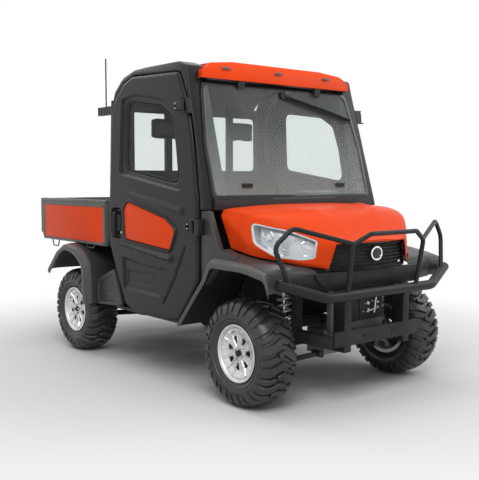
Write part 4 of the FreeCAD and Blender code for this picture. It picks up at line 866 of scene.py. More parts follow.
def makeDoor(side, label):
    look = doorLook
    low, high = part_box(f"door_shell_{label}")
    face = high.x if side > 0 else -low.x
    body = f"door_{label}"

    def place(u, v, h):
        inward = look["lean"] * max(0.0, v - look["belt"])
        return Vector((side * (face - inward + h), u + low.y, v + low.z))

    def shape(key, distance, corner, steps=6):
        loop = inset(look[key], distance) if distance else look[key]
        return softCorners(loop, corner, steps)

    areas = [(shape(*spot[:4]), *spot[4:]) for spot in look["levels"]]
    borders = [shape("outline", 0, look["corners"]), shape("window", 0, look["windowCorner"])[::-1]]
    shell = mouldedPiece(
        f"doorShell-{label}", borders, areas, [(look["valley"], -0.01, 0.016)], look["spacing"],
        look["roll"], -look["wall"], place, "doorPlastic", None, look["folds"],
    )
    mount(shell, body, "door_plastic", f"door_shell_{label}")
    trim = shape("inlay", 0.004, 0.04)
    panel = outlineSolid(f"doorInlay-{label}", trim, [], -0.001, 0.005, 0.0015, place, "orangeGloss")
    mount(panel, body, "orange_paint", f"door_inlay_{label}")
    edge = shape("window", -0.012, 0.07)
    pane = outlineSolid(f"doorGlass-{label}", edge, [], -0.03, -0.026, 0.0, place, "sideGlass", 1)
    mount(pane, body, "clear_glass", f"door_glass_{label}")
    outer, inner = shape("window", -0.001, 0.065), shape("window", 0.012, 0.055)
    seal = outlineSolid(f"doorSeal-{label}", outer, [inner], -0.034, -0.02, 0.004, place, "gripRubber")
    mount(seal, body, "grip_rubber")
    makeHandle(side, place, body, label)
    makeHinges(side, face, low, body, label)


handleLook = {
    "along": 0.992, "low": 0.5445, "high": 0.6845, "grip": 0.012, "out": 0.003, "sink": -0.027,
    "knob": [(0.0, 0.0), (0.011, 0.0), (0.011, 0.008), (0.0085, 0.011), (0.0, 0.012)],
    "knobPlace": (0.935, 0.55, -0.027),
}


def makeHandle(side, place, body, label):
    look = handleLook
    ends = ((look["low"], look["sink"]), (look["low"], look["out"]))
    ends += ((look["high"], look["out"]), (look["high"], look["sink"]))
    route = [place(look["along"], level, out) for level, out in ends]
    grip = pipePiece("grip", route, look["grip"], "satinBlack", 0.025, 16)
    centre = place(*look["knobPlace"])
    knob = turnedPiece("knob", look["knob"], centre, (side, 0, 0), "zincSteel", 24, False)
    mount(mergePieces(f"doorHandle-{label}", [grip, knob]), body, "guard_black", f"door_hardware_{label}")


hingeLook = {
    "hinges": [(0.633, 0.075, 0.0), (1.372, 0.1, 0.024)],  # level, reach along the door, sink
    "along": 0.027, "slant": 0.1326, "out": 0.02, "pin": 0.0118, "half": 0.0355,
    "plateBack": (0.012, 0.004), "strapHalf": 0.027, "footHalf": 0.0275, "footLength": 0.035,
    "footSink": 0.002, "screwBack": (0.005, 0.0175), "screwShift": 0.014,
    "screw": [(0.0, 0.0), (0.006, 0.0), (0.005, 0.0035), (0.0, 0.004)],
}


def rod(radius, half, edge, end=0.002):
    # the outline of a short rod with softened ends, to be turned
    return [
        (0.0, -half), (radius - edge, -half), (radius, end - half), (radius, half - end),
        (radius - edge, half), (0.0, half),
    ]


def makeHinges(side, face, low, body, label):
    look = hingeLook
    out = face + look["out"]
    for part, (level, reach, sink) in enumerate(look["hinges"]):
        middle = low.z + level
        along = low.y + look["along"] + (level - look["hinges"][0][0]) * look["slant"]
        barrel = rod(look["pin"], look["half"], 0.0015)
        axis = (0, look["slant"], 1)
        pieces = [turnedPiece("barrel", barrel, (side * out, along, middle), axis, "satinBlack", 24, False)]
        end = along + reach
        footStart = end - look["footLength"]
        inner, outer = look["plateBack"]
        for name, across, start, tall, bevel in (
            ("strap", (out - inner, out - outer), along, look["strapHalf"], 0.002),
            ("foot", (face - sink - look["footSink"], out - outer), footStart, look["footHalf"], 0.003),
        ):
            up = (middle - tall, middle + tall)
            pieces.append(sideBox(name, side, across, (start, end), up, bevel, "satinBlack"))
        screwIn, screwBack = look["screwBack"]
        for shift in (-look["screwShift"], look["screwShift"]):
            centre = (side * (out - screwIn), end - screwBack, middle + shift)
            pieces.append(turnedPiece("screw", look["screw"], centre, (side, 0, 0), "zincSteel", 16, False))
        mount(mergePieces(f"doorHinge{part}-{label}", pieces), body, "guard_black")


makeDoor(1, "left")
makeDoor(-1, "right")
print("doors made")


def at(y, *pairs):
    # a half section that stands straight across
    return [(x, y, z) for x, z in pairs]


hoodLook = {
    "halfSections": [  # foot, crease, side top, shoulder, inner, crown
        [
            (0.65, -0.885, 0.9145), (0.657, -0.797, 1.1), (0.645, -0.792, 1.124), (0.605, -0.797, 1.1475),
            (0.32, -0.808, 1.1645), (0, -0.808, 1.1675),
        ],
        [
            (0.645, -0.955, 0.902), (0.658, -0.93, 1.035), (0.636, -0.925, 1.108), (0.592, -0.93, 1.142),
            (0.32, -0.935, 1.16), (0, -0.935, 1.163),
        ],
        at(-1.071, (0.64, 0.884), (0.656, 0.953), (0.635, 1.08), (0.58, 1.13), (0.32, 1.152), (0, 1.156)),
        at(-1.221, (0.535, 0.846), (0.553, 0.872), (0.54, 1.038), (0.49, 1.092), (0.3, 1.118), (0, 1.122)),
        at(-1.355, (0.392, 0.822), (0.402, 0.836), (0.392, 0.968), (0.355, 1.0), (0.23, 1.012), (0, 1.018)),
        at(-1.41, (0.312, 0.808), (0.317, 0.816), (0.309, 0.948), (0.285, 0.968), (0.19, 0.976), (0, 0.98)),
        at(-1.44, (0.202, 0.8), (0.205, 0.806), (0.2, 0.945), (0.178, 0.962), (0.12, 0.967), (0, 0.969)),
    ],
    "wall": 0.011, "footDrop": 0.08, "open": 0.05, "steps": 5, "creases": (1, 9), "flat": 8,
    "ridgeHeight": 0.013, "ridgeWidth": 0.03, "ridgeRear": (-0.82, 0.47), "ridgeNose": (-1.4, 0.13),
    "ridgeEase": (6, 3), "crownDip": 0.35,
    "lamp": [
        (-1.051, 1.082), (-1.083, 0.957), (-1.195, 0.878), (-1.3, 0.862), (-1.352, 0.872), (-1.356, 0.975),
        (-1.245, 1.036),
    ],
    "lampCorners": [0.03, 0.05, 0.05, 0.03, 0.022, 0.022, 0.06],
    "lampAcross": (0.3, 0.75),
    "grille": [(-0.352, 0.79), (0.352, 0.79), (0.3, 0.956), (-0.3, 0.956)],
    "grilleAlong": (-1.5, -1.35),
}


def hoodRidge(point):
    # two soft ridges that run together towards the nose
    (rearY, rearX), (noseY, noseX) = hoodLook["ridgeRear"], hoodLook["ridgeNose"]
    along = (point.y - rearY) / (noseY - rearY)
    line = rearX + (noseX - rearX) * along
    easeRear, easeNose = hoodLook["ridgeEase"]
    ends = max(0.0, min(1.0, along * easeRear, (1 - along) * easeNose))
    across = (abs(point.x) - line) / hoodLook["ridgeWidth"]
    dip = hoodLook["crownDip"] if across < -1 else 0.0
    return hoodLook["ridgeHeight"] * ends * (math.exp(-across * across) - dip)


def hoodSolid(name, shrink, drop, stretch, ridges=False):
    sections = []
    last = len(hoodLook["halfSections"]) - 1
    for index, half in enumerate(hoodLook["halfSections"]):
        shift = {0: stretch, last: shrink}.get(index, 0.0)
        falls = [drop, 0.0] + [shrink] * (len(half) - 2)
        column = [
            Vector((max(0.0, x - shrink) if x else 0.0, y + shift, z - fall))
            for (x, y, z), fall in zip(half, falls)
        ]
        mirrored = [Vector((-p.x, p.y, p.z)) for p in reversed(column[:-1])]
        sections.append(column + mirrored)
    steps, flat = hoodLook["steps"], hoodLook["flat"]
    rows = loftGrid(sections, steps, steps, hoodLook["creases"])
    if ridges:
        for row in rows:
            for point in row[flat:-flat]:
                point.z += hoodRidge(point)
    points, faces = gridMesh(rows, True)
    width = len(rows[0])
    faces.append(tuple(reversed(range(width))))
    faces.append(tuple(range(len(points) - width, len(points))))
    return meshPiece(name, points, faces, "orangeGloss", 28)


def lampPrism(side, grow):
    corners = [max(0.008, r - grow) for r in hoodLook["lampCorners"]]
    loop = softCorners(inset(hoodLook["lamp"], grow), corners, 5)
    inner, outer = hoodLook["lampAcross"]
    low, high = sorted((side * (inner + grow), side * outer))
    return outlineSolid("lampPrism", loop, [], low, high, 0.0, acrossX, "lampGlass")


def makeHood():
    look = hoodLook
    hood = hoodSolid("hoodShell", 0.0, 0.0, 0.0, True)
    tools = [hoodSolid("hoodInside", look["wall"], look["footDrop"], look["open"])]
    tools += [lampPrism(side, 0.0) for side in (1, -1)]
    loop = softCorners(inset(look["grille"], 0.0), 0.012, 4)
    tools.append(outlineSolid("grillePrism", loop, [], *look["grilleAlong"], 0.0, acrossY, "glossTrim"))
    carve(hood, tools, "DIFFERENCE", 28)
    mount(hood, "hood", "orange_paint", "hood")


lampLook = {
    "skins": [  # part, inset of its outer and inner face, inset of its edge, finish
        ("Lens", 0.002, 0.006, 0.003, "lampGlass"),
        ("Rim", 0.003, 0.016, 0.001, "lampRimPale"),
        ("Cup", 0.012, 0.062, 0.004, "lampTray"),
    ],
    "drops": (0.03, 0.06, 0.05),  # at the foot of the outer and the inner face, and at the rear
    "rimWidth": 0.009, "scoop": (0.0, 0.052, 0.011, "lampTray"),
    "bowls": [  # place, radius, turn
        (-1.285, 0.927, 0.415, 0.044, -0.95), (-1.205, 0.955, 0.5, 0.04, -0.6),
        (-1.13, 1.0, 0.57, 0.032, -0.25),
    ],
    "bowl": [  # share of the radius, then metres along the axis
        (0.6, -0.022), (0.9, -0.004), (1.0, 0.01), (0.94, 0.011), (0.82, -0.003), (0.5, -0.018),
    ],
    "bowlNeck": (0.008, -0.03, -0.025), "bowlAim": (0.55, 0.06),
    "bulb": [(0.0, -0.026), (0.009, -0.026), (0.009, -0.006), (0.0, 0.002)],
    "amber": (0.008, 0.03, 0.012, "amberLens"),
    "amberBox": ((0.28, -1.5, 0.84), (0.46, -1.1, 0.925)),
}


def lampSkin(side, name, outerShrink, innerShrink, grow, finish):
    outerDrop, innerDrop, rear = lampLook["drops"]
    skin = hoodSolid(name, outerShrink, outerDrop, 0.0)
    carve(skin, [hoodSolid("inside", innerShrink, innerDrop, rear)])
    carve(skin, [lampPrism(side, grow)], "INTERSECT")
    skin.data.materials.clear()
    wear(skin, finish)
    skin.data.polygons.foreach_set("material_index", [0] * len(skin.data.polygons))
    return skin


def makeLamp(side, label):
    look = lampLook
    for part, *skin in look["skins"]:
        piece = lampSkin(side, f"lamp{part}-{label}", *skin)
        if part == "Rim":
            carve(piece, [lampPrism(side, look["rimWidth"])])
        if part == "Cup":
            carve(piece, [lampSkin(side, "scoop", *look["scoop"])], "DIFFERENCE", 25)
        mount(piece, "hood", "lamp_lens", *(["headlamps"] if part == "Lens" else []))
    bowls = []
    (neck, neckStart, neckEnd), (aimOut, aimUp) = look["bowlNeck"], look["bowlAim"]
    for y, z, x, radius, turn in look["bowls"]:
        profile = [(radius * share, out) for share, out in look["bowl"]]
        profile = [(neck, neckStart)] + profile + [(neck, neckEnd)]
        where = (side * x, y, z), (side * aimOut, turn, aimUp)
        bowls.append(turnedPiece("bowl", profile, *where, "chromeTrim", 28))
        bowls.append(turnedPiece("bulb", look["bulb"], *where, "chromeTrim", 16, False))
    mount(mergePieces(f"lampBowls-{label}", bowls), "hood", "lamp_lens")
    if side > 0:
        amber = lampSkin(side, f"turnLens-{label}", *look["amber"])
        carve(amber, [roundedBox("amberCut", *look["amberBox"], 0.006, "amberLens")], "INTERSECT")
        mount(amber, "hood", "lamp_lens")


grilleLook = {
    "frame": 0.014, "bars": 7, "rods": 25, "front": -1.452, "bow": 0.62, "barLevels": (0.8, 0.946),
    "barIn": 0.012, "barDepth": 0.016, "bar": 0.0042, "rodReach": 0.3, "rodFoot": 0.796, "top": 0.95,
    "rodIn": 0.03, "rodDepth": 0.022, "rod": 0.0022, "meshDepth": 0.034,
    "foot": (0.352, 0.79), "slope": 0.313,  # half width at the foot, and how fast it narrows
    "ring": (0.05, 0.043), "ringHole": (0.039, 0.03182), "ringCentre": (0.0, 0.888),
}


def bowFront(u):
    # the grille follows the rounded nose
    return grilleLook["front"] + grilleLook["bow"] * u * u


def makeGrille():
    look = grilleLook

    def place(u, v, w):
        return Vector((u, bowFront(u) + w, v))

    outer, inner = (
        resample(softCorners(inset(hoodLook["grille"], distance), corner, 5), 0.012)
        for distance, corner in ((0.002, 0.014), (look["frame"], 0.01))
    )
    pieces = [outlineSolid("ring", outer, [inner], 0.002, 0.03, 0.003, place, "glossTrim")]
    low, high = look["barLevels"]
    halfFoot, foot = look["foot"]
    for index in range(look["bars"]):
        v = low + (high - low) * (index + 0.5) / look["bars"]
        half = halfFoot - (v - foot) * look["slope"] - look["barIn"]
        route = [place(x, v, look["barDepth"]) for x in np.linspace(-half, half, 17)]
        pieces.append(pipePiece("bar", route, look["bar"], "satinBlack", 0.0, 8))
    reach = look["rodReach"]
    for x in np.linspace(-reach, reach, look["rods"]):
        top = min(look["top"], foot + (halfFoot - abs(x)) / look["slope"] - look["rodIn"])
        route = [place(x, level, look["rodDepth"]) for level in (look["rodFoot"], top)]
        pieces.append(pipePiece("rod", route, look["rod"], "satinBlack", 0.0, 6))
    backing = np.linspace(-reach, reach, 24)
    rows = [[place(x, z, look["meshDepth"]) for z in (foot, look["top"])] for x in backing]
    pieces.append(shellPiece("mesh", rows, 0.003, "frameBlack"))
    mount(mergePieces("grilleBars", pieces), "hood", "trim_black", "grille")
    loop, hole = (
        circle(look[key][0], 48, look[key][1], look["ringCentre"]) for key in ("ring", "ringHole")
    )
    ring = outlineSolid("badgeRing", loop, [hole], -0.006, 0.006, 0.003, place, "chromeTrim", 3)
    disc = outlineSolid("badgeDisc", hole, [], 0.0, 0.006, 0.001, place, "glossTrim")
    mount(mergePieces("plainBadge", [ring, disc]), "hood", "steel_bright")


makeHood()
makeLamp(1, "left")
makeLamp(-1, "right")
makeGrille()
print("hood made")


fenderLook = {
    "frontStations": [  # inner top, slope, shoulder, lip
        [(0.43, -1.36, 0.71), (0.6, -1.358, 0.705), (0.735, -1.35, 0.7), (0.762, -1.345, 0.69)],
        [(0.41, -1.364, 0.765), (0.6, -1.362, 0.762), (0.75, -1.351, 0.755), (0.777, -1.345, 0.742)],
        [(0.41, -1.345, 0.81), (0.6, -1.343, 0.812), (0.755, -1.33, 0.806), (0.784, -1.325, 0.79)],
        [(0.51, -1.275, 0.836), (0.64, -1.272, 0.838), (0.758, -1.262, 0.829), (0.787, -1.26, 0.81)],
        [(0.62, -1.13, 0.862), (0.69, -1.13, 0.866), (0.76, -1.13, 0.851), (0.788, -1.13, 0.831)],
        [(0.655, -0.97, 0.89), (0.7, -0.97, 0.89), (0.76, -0.965, 0.856), (0.788, -0.963, 0.834)],
        [(0.68, -0.87, 0.905), (0.712, -0.86, 0.9), (0.762, -0.838, 0.852), (0.787, -0.84, 0.829)],
        [(0.7, -0.76, 0.76), (0.735, -0.758, 0.757), (0.764, -0.766, 0.743), (0.787, -0.777, 0.729)],
        [(0.7, -0.65, 0.632), (0.735, -0.648, 0.63), (0.762, -0.656, 0.618), (0.785, -0.667, 0.605)],
        [(0.7, -0.483, 0.43), (0.735, -0.482, 0.43), (0.76, -0.488, 0.422), (0.783, -0.498, 0.412)],
    ],
    "turnedEdge": [  # how far the edge turns back and down from each lip
        (0.003, -0.02), (0.003, -0.024), (0.003, -0.025), (0.002, -0.028), (0, -0.031),
        (-0.003, -0.033), (-0.008, -0.033), (-0.015, -0.017), (-0.015, -0.015), (-0.015, -0.014),
    ],
    "edgeIn": 0.006,
    "frontArch": [
        (-0.504, 0.405), (-0.857, 0.805), (-0.97, 0.817), (-1.13, 0.825), (-1.26, 0.808), (-1.335, 0.792),
    ],
    "frontAcross": (0.442, 0.77),
    "panel": [
        (-0.713, 0.68), (-0.713, 1.138), (-0.782, 1.138), (-0.886, 0.912), (-1.05, 0.88), (-1.05, 0.83),
        (-0.87, 0.815), (-0.76, 0.69),
    ],
    "panelAcross": (0.706, 0.751),
    "rearArch": [
        (0.6275, 0.408), (0.6355, 0.58), (0.6515, 0.69), (0.6895, 0.738), (0.7995, 0.801), (0.9645, 0.821),
        (1.0895, 0.757), (1.2495, 0.607),
    ],
    "rearAcross": [  # distance from the middle, height over the arch
        (0.537, 0.011), (0.68, 0.013), (0.765, 0.012), (0.81, 0.004), (0.834, -0.012), (0.832, -0.038),
    ],
    "frontWall": 0.004, "rearWall": 0.005, "wellWall": 0.008,
    # the lip values are how far out from the middle the flares take the paler painted highlight
    "frontLipHighlightFrom": 0.762, "rearLipHighlightFrom": 0.785, "rearBead": 0.828,
}


def archLine(line, distance):
    # the line moved across itself, upwards when it runs to the rear
    made = []
    for index, (y, z) in enumerate(line):
        before, after = Vector(line[max(0, index - 1)]), Vector(line[min(len(line) - 1, index + 1)])
        run = (after - before).normalized()
        made.append((y - distance * run.y, z + distance * run.x))
    return made


def flare(sections, wall, offset, lip):
    # a curved shell, its outer band along the lip painted paler as a painted highlight
    piece = shellPiece("flare", loftGrid(sections, 6, 4), wall, "fenderPlastic", offset, 50)
    wear(piece, "fenderLipPaintedHighlight")
    for face in piece.data.polygons:
        face.material_index = 1 if abs(face.center.x) > lip else 0
    return piece


def makeFrontFenders():
    look = fenderLook
    pieces = []
    for side in (1, -1):
        sections = []
        for station, (back, down) in zip(look["frontStations"], look["turnedEdge"]):
            x, y, z = station[-1]
            edge = (x - look["edgeIn"], y + back, z + down)
            sections.append([Vector((side * x, y, z)) for x, y, z in station + [edge]])
        pieces.append(flare(sections, look["frontWall"], float(side), look["frontLipHighlightFrom"]))
        arch = look["frontArch"]
        well = arch + archLine(arch, -look["wellWall"])[::-1]
        for name, loop, key, bevel, finish, steps in (
            ("well", well, "frontAcross", 0.001, "grainedPlastic", 2),
            ("panel", softCorners(look["panel"], 0.016, 4), "panelAcross", 0.007, "fenderPlastic", 3),
        ):
            low, high = sorted(side * x for x in look[key])
            pieces.append(outlineSolid(name, loop, [], low, high, bevel, acrossX, finish, steps))
    mount(mergePieces("frontFenders", pieces), "vehicle", "body_plastic", "front_fenders")


def makeRearFenders():
    look = fenderLook
    arch = look["rearArch"]
    lines = [(x, archLine(arch, rise)) for x, rise in look["rearAcross"]]
    pieces = []
    for side in (1, -1):
        sections = [[Vector((side * x, *line[k])) for x, line in lines] for k in range(len(arch))]
        pieces.append(flare(sections, look["rearWall"], 0.0, look["rearLipHighlightFrom"]))
    for side in (1, -1):
        # the bead along each rear arch takes the paler colour that paints its highlight
        bead = resample(softCorners(arch, 0.03, 4, False), 0.02, False)
        route = [(side * look["rearBead"], y, z) for y, z in bead]
        pieces.append(pipePiece("lip", route, 0.006, "fenderLipPaintedHighlight", 0.0, 8))
    mount(mergePieces("rearFenders", pieces), "vehicle", "body_plastic", "rear_fenders")


sideCoverLook = {
    "outline": [(0.6155, 0.404), (0.235, 0.43), (0.345, 0.69), (0.6155, 0.588)],
    "step": [(0.585, 0.43), (0.3, 0.452), (0.37, 0.65), (0.585, 0.565)],
    "ribs": [
        [(0.34, 0.5), (0.575, 0.478)], [(0.352, 0.545), (0.575, 0.518)], [(0.366, 0.59), (0.575, 0.553)],
    ],
    "face": 0.749,
}


def makeSideCovers():
    look = sideCoverLook
    pieces = []
    for side in (1, -1):

        def place(u, v, h):
            return Vector((side * (look["face"] + h), u, v))

        areas = [(softCorners(look["step"], 0.03, 4), -0.008, 0.01)]
        lines = [(rib, 0.005, 0.009) for rib in look["ribs"]]
        loop = [softCorners(look["outline"], 0.03, 5)]
        cover = mouldedPiece("cover", loop, areas, lines, 0.012, 0.008, -0.026, place, "fenderPlastic")
        pieces.append(cover)
    mount(mergePieces("sideCovers", pieces), "vehicle", "body_plastic", "side_covers")


makeFrontFenders()
makeRearFenders()
makeSideCovers()
softCopy("frontFascia", "front_fascia", "grainedPlastic", 0.006)
print("fenders made")


cabLook = {
    "screenFoot": (-0.763, 1.203), "screenHead": (-0.561, 1.941),
    "screenShape": [
        (-0.692, 0.0), (-0.692, 0.344), (-0.639, 0.764), (0.639, 0.764), (0.692, 0.344), (0.692, 0.0),
    ],
    "screenCorners": [0.02, 0.2, 0.05, 0.05, 0.2, 0.02], "bandCorners": [0.03, 0.2, 0.06, 0.06, 0.2, 0.03],
    "band": 0.024, "bandDepth": (0.0045, 0.0065), "glass": 0.004,
    "rearTaper": 0.006, "rearSeal": 0.026,
    "roofDots": (-0.46, -0.02, 0.42), "dot": (0.034, 0.009), "dotLevel": 2.023,
    "softNodes": [  # piece, node, finish, how far its edges are rounded
        ("cabFrame", "cab_frame", "pillarBlack", 0.009),
        ("cabTub", "cab_tub", "grainedPlastic", 0.006),
        ("cowlPanel", "cowl", "cowlGrey", 0.005),
        ("rearWall", "rear_wall", "grainedPlastic", 0.006),
        ("seatBox", "seat_base", "grainedPlastic", 0.012),
        ("hingeMounts", "door_hinge_mounts", "satinBlack", 0.0015),
        ("bumper", "front_bumper", "satinBlack", 0.003),
        ("chassis", "chassis_frame", "frameBlack", 0.003),
        ("bedSubframe", "bed_subframe", "frameBlack", 0.003),
        ("powertrain", "powertrain", "castGrey", 0.008),
        ("armPieces", "suspension_arms", "frameBlack", 0.003),
        ("dashPanel", "dashboard", "grainedPlastic", 0.014),
    ],
}


def screenPlace(u, v, w):
    # u across, v up the slanted glass, w out of it
    (y0, z0), (y1, z1) = cabLook["screenFoot"], cabLook["screenHead"]
    run = Vector((0, y1 - y0, z1 - z0)).normalized()
    out = Vector((0, -run.z, run.y))
    return Vector((u, y0, z0)) + run * v + out * w


def makeScreen():
    look = cabLook
    outline = softCorners(look["screenShape"], look["screenCorners"], 6)
    pane = outlineSolid("windscreenGlass", outline, [], 0.0, look["glass"], 0.0, screenPlace, "cabGlass", 1)
    mount(pane, "vehicle", "clear_glass", "windscreen")
    inner = softCorners(inset(look["screenShape"], look["band"]), look["bandCorners"], 6)
    spot = (*look["bandDepth"], 0.0006, screenPlace, "printBand", 1)
    band = outlineSolid("windscreenBand", outline, [inner], *spot)
    mount(band, "vehicle", "trim_black")


def makeRearWindow():
    low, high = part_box("rear_window")
    taper = cabLook["rearTaper"]
    shape = [(low.x, low.z), (high.x, low.z), (high.x - taper, high.z), (low.x + taper, high.z)]
    place = standing((low.y + high.y) / 2)
    outline = softCorners(shape, 0.05)
    pane = outlineSolid("rearGlass", outline, [], -0.002, 0.002, 0.0, place, "sideGlass", 1)
    mount(pane, "vehicle", "clear_glass", "rear_window")
    edge = softCorners(inset(shape, 0.001), 0.05)
    hole = softCorners(inset(shape, cabLook["rearSeal"]), 0.04)
    seal = outlineSolid("rearSeal", edge, [hole], -0.012, 0.012, 0.004, place, "gripRubber")
    mount(seal, "vehicle", "grip_rubber")


def makeRoof():
    look = cabLook
    roof = softCopy("roofPanel", "roof_panel", "orangeGloss", 0.012, sharp=50, segments=4, keep=True)
    wear(roof, "grainedPlastic")
    for face in roof.data.polygons:  # dark on its underside
        face.material_index = 1 if face.normal.z < -0.3 else 0
    mount(roof, "vehicle", "orange_paint", "roof_panel")
    front = standing(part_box("roof_panel")[0].y)
    dots = []
    for x in look["roofDots"]:
        loop = circle(look["dot"][0], 28, look["dot"][1], (x, look["dotLevel"]))
        dots.append(outlineSolid("dot", loop, [], -0.003, 0.012, 0.002, front, "bedFrameGrey"))
    mount(mergePieces("roofDots", dots), "vehicle", "steel_bright")


makeScreen()
makeRearWindow()
makeRoof()
for spot in cabLook["softNodes"]:
    softCopy(*spot)
print("cab made")


padLook = {
    "voxel": 0.006, "wideVoxels": 2.2, "smallVoxels": 1.2, "wideFrom": 0.16,
    "pressure": 4.0, "frames": 20, "stiffness": 12, "bending": 0.6, "sharp": 60, "fill": 0.6,
    "slim": 0.75, "slimMost": 0.7, "smoothing": 0.5, "smoothRuns": 6, "facing": (1.6, 0.3),
    "pads": {  # node, how far it may swell, seams
        "driverCushion": ("driver_cushion", 0.024, "cushion"),
        "passengerCushion": ("passenger_cushion", 0.024, "cushion"),
        "driverBack": ("driver_seat_back", 0.022, "back"),
        "passengerBack": ("passenger_seat_back", 0.022, "back"),
    },
    "headSwell": 0.01,
    "faces": {"cushion": (2, 1), "back": (1, -1), "head": (1, -1)},  # axis and side that the seams are on
    "seams": {  # axis, share across the pad, depth, width
        "cushion": [
            (1, 0.3, 0.006, 0.006), (1, 0.62, 0.006, 0.006), (0, 0.18, 0.007, 0.007), (0, 0.82, 0.007, 0.007),
        ],
        "back": [
            (2, 0.3, 0.006, 0.006), (2, 0.64, 0.006, 0.006), (0, 0.18, 0.007, 0.007), (0, 0.82, 0.007, 0.007),
        ],
        "head": [(0, 0.14, 0.003, 0.005), (0, 0.86, 0.003, 0.005)],
    },
}


def vertexData(piece, key="co"):
    return np.array([tuple(getattr(v, key)) for v in piece.data.vertices])


def setPoints(piece, points):
    piece.data.vertices.foreach_set("co", points.ravel())
    piece.data.update()


def puffed(piece, limit):
    # a cloth run that fills the pad, held back to the limit
    start = vertexData(piece)
    cloth = modify(piece, "CLOTH")
    cloth.settings.use_pressure = True
    cloth.settings.uniform_pressure_force = padLook["pressure"]
    cloth.settings.effector_weights.gravity = 0.0
    cloth.settings.tension_stiffness = padLook["stiffness"]
    cloth.settings.compression_stiffness = padLook["stiffness"]
    cloth.settings.bending_stiffness = padLook["bending"]
    cloth.point_cache.frame_start = 1
    cloth.point_cache.frame_end = padLook["frames"]
    for step in range(1, padLook["frames"] + 1):
        bpy.context.scene.frame_set(step)
    applied(piece, padLook["sharp"])
    bpy.context.scene.frame_set(1)
    move = vertexData(piece) - start
    length = np.linalg.norm(move, axis=1, keepdims=True)
    move *= limit * np.tanh(length / limit) / np.maximum(length, 1e-9)
    setPoints(piece, start + move)


def padPiece(name, node, side, limit, kind):
    look = padLook
    sharp = look["sharp"]
    mesh = cadNodes[node].data.copy()
    piece = newPiece(name, mesh, "seatVinyl", sharp)

    def keepSide(shaped):
        away = [v for v in shaped.verts if v.co.x * side < 0]
        bmesh.ops.delete(shaped, geom=away, context="VERTS")

    if side:
        editMesh(mesh, keepSide)
    points = vertexData(piece)
    low, high = points.min(axis=0), points.max(axis=0)
    middle, half = (low + high) / 2, (high - low) / 2
    room = np.maximum(half - limit * look["slim"], half * look["slimMost"])
    setPoints(piece, (points - middle) * (room / half) + middle)
    size = look["voxel"] * look["wideVoxels" if max(half) > look["wideFrom"] else "smallVoxels"]
    modify(piece, "REMESH", mode="VOXEL", voxel_size=size)
    applied(piece, sharp)
    modify(piece, "SMOOTH", factor=look["smoothing"], iterations=look["smoothRuns"])
    applied(piece, sharp)
    puffed(piece, limit)
    modify(piece, "SUBSURF", levels=1, render_levels=1)
    applied(piece, sharp)
    stitch(piece, kind, low, high)
    mount(piece, "vehicle", "seat_vinyl", node)
    print("pad made:", name)


def stitch(piece, kind, low, high):
    # presses channels into the pad along lines of equal place on one axis
    points, normals = vertexData(piece), vertexData(piece, "normal")
    faceAxis, faceSide = padLook["faces"][kind]
    gain, start = padLook["facing"]
    facing = np.clip(normals[:, faceAxis] * faceSide * gain - start, 0, 1)
    drop = np.zeros(len(points))
    for axis, share, depth, width in padLook["seams"][kind]:
        line = low[axis] + (high[axis] - low[axis]) * share
        drop += depth * facing * np.exp(-(((points[:, axis] - line) / width) ** 2))
    setPoints(piece, points - normals * drop[:, None])


for name, (node, limit, kind) in padLook["pads"].items():
    padPiece(name, node, 0, limit, kind)
for side, label in ((1, "left"), (-1, "right")):
    padPiece(f"headrest-{label}", "headrests", side, padLook["headSwell"], "head")


bedLook = {
    "inlayAlong": (0.51, 1.475), "inlayUp": (0.862, 1.12), "inlayFace": 0.743,
    "railEnd": 1.523, "railAcross": (-0.036, 0.004), "railUp": (-0.02, 0.004), "railFront": -0.003,
    "frameAcross": (0.736, 0.7445),
    "frame": [  # along, up
        ("post", (0.482, 0.506), (0.845, 1.152)), ("post", (1.479, 1.503), (0.845, 1.152)),
        ("sill", (0.482, 1.5), (0.843, 0.859)), ("lip", (0.482, 1.5), (1.1225, 1.136)),
    ],
    "ribs": 9, "ribReach": 0.6, "ribHalf": 0.03, "ribStart": 0.53, "ribEnd": -0.05, "ribUp": (0.899, 0.905),
    "gateInlay": ((-0.68, 0.93), (0.68, 1.13)), "latch": ((-0.06, 1.1), (0.06, 1.125)), "latchOut": 0.014,
}


def corners(low, high):
    return [(low[0], low[1]), (high[0], low[1]), (high[0], high[1]), (low[0], high[1])]


def makeBedInlays():
    look = bedLook
    loop = softCorners(corners(*zip(look["inlayAlong"], look["inlayUp"])), 0.01, 3)
    pieces = []
    for side in (1, -1):

        def place(u, v, w):
            return Vector((side * (look["inlayFace"] + w), u, v))

        pieces.append(outlineSolid("inlay", loop, [], -0.003, 0.0, 0.001, place, "orangeGloss"))
    mount(mergePieces("bedInlays", pieces), "bed", "orange_paint", "bed_inlays")


def makeBedSides():
    look = bedLook
    pieces = [softCopy("bedWalls", "bed_walls", "bedFrameGrey", 0.004, "bed", keep=True)]
    low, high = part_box("bed_walls")
    for side in (1, -1):
        across = [high.x + reach for reach in look["railAcross"]]
        along, up = (low.y + look["railFront"], look["railEnd"]), [high.z + rise for rise in look["railUp"]]
        pieces.append(sideBox("rail", side, across, along, up, 0.006, "bedFrameGrey"))
        for name, along, up in look["frame"]:
            pieces.append(sideBox(name, side, look["frameAcross"], along, up, 0.003, "bedFrameGrey"))
    mount(mergePieces("bedSides", pieces), "bed", nodeSlots["bed_walls"], "bed_walls")


def makeBedFloor():
    look = bedLook
    pieces = [softCopy("bedFloorPlate", "bed_floor", "bedLiner", 0.003, "bed", keep=True)]
    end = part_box("bed_floor")[1].y + look["ribEnd"]
    half, (low, high) = look["ribHalf"], look["ribUp"]
    for x in np.linspace(-look["ribReach"], look["ribReach"], look["ribs"]):
        spot = (x - half, look["ribStart"], low), (x + half, end, high)
        pieces.append(roundedBox("rib", *spot, 0.0028, "bedLiner"))
    mount(mergePieces("bedFloor", pieces), "bed", nodeSlots["bed_floor"], "bed_floor")


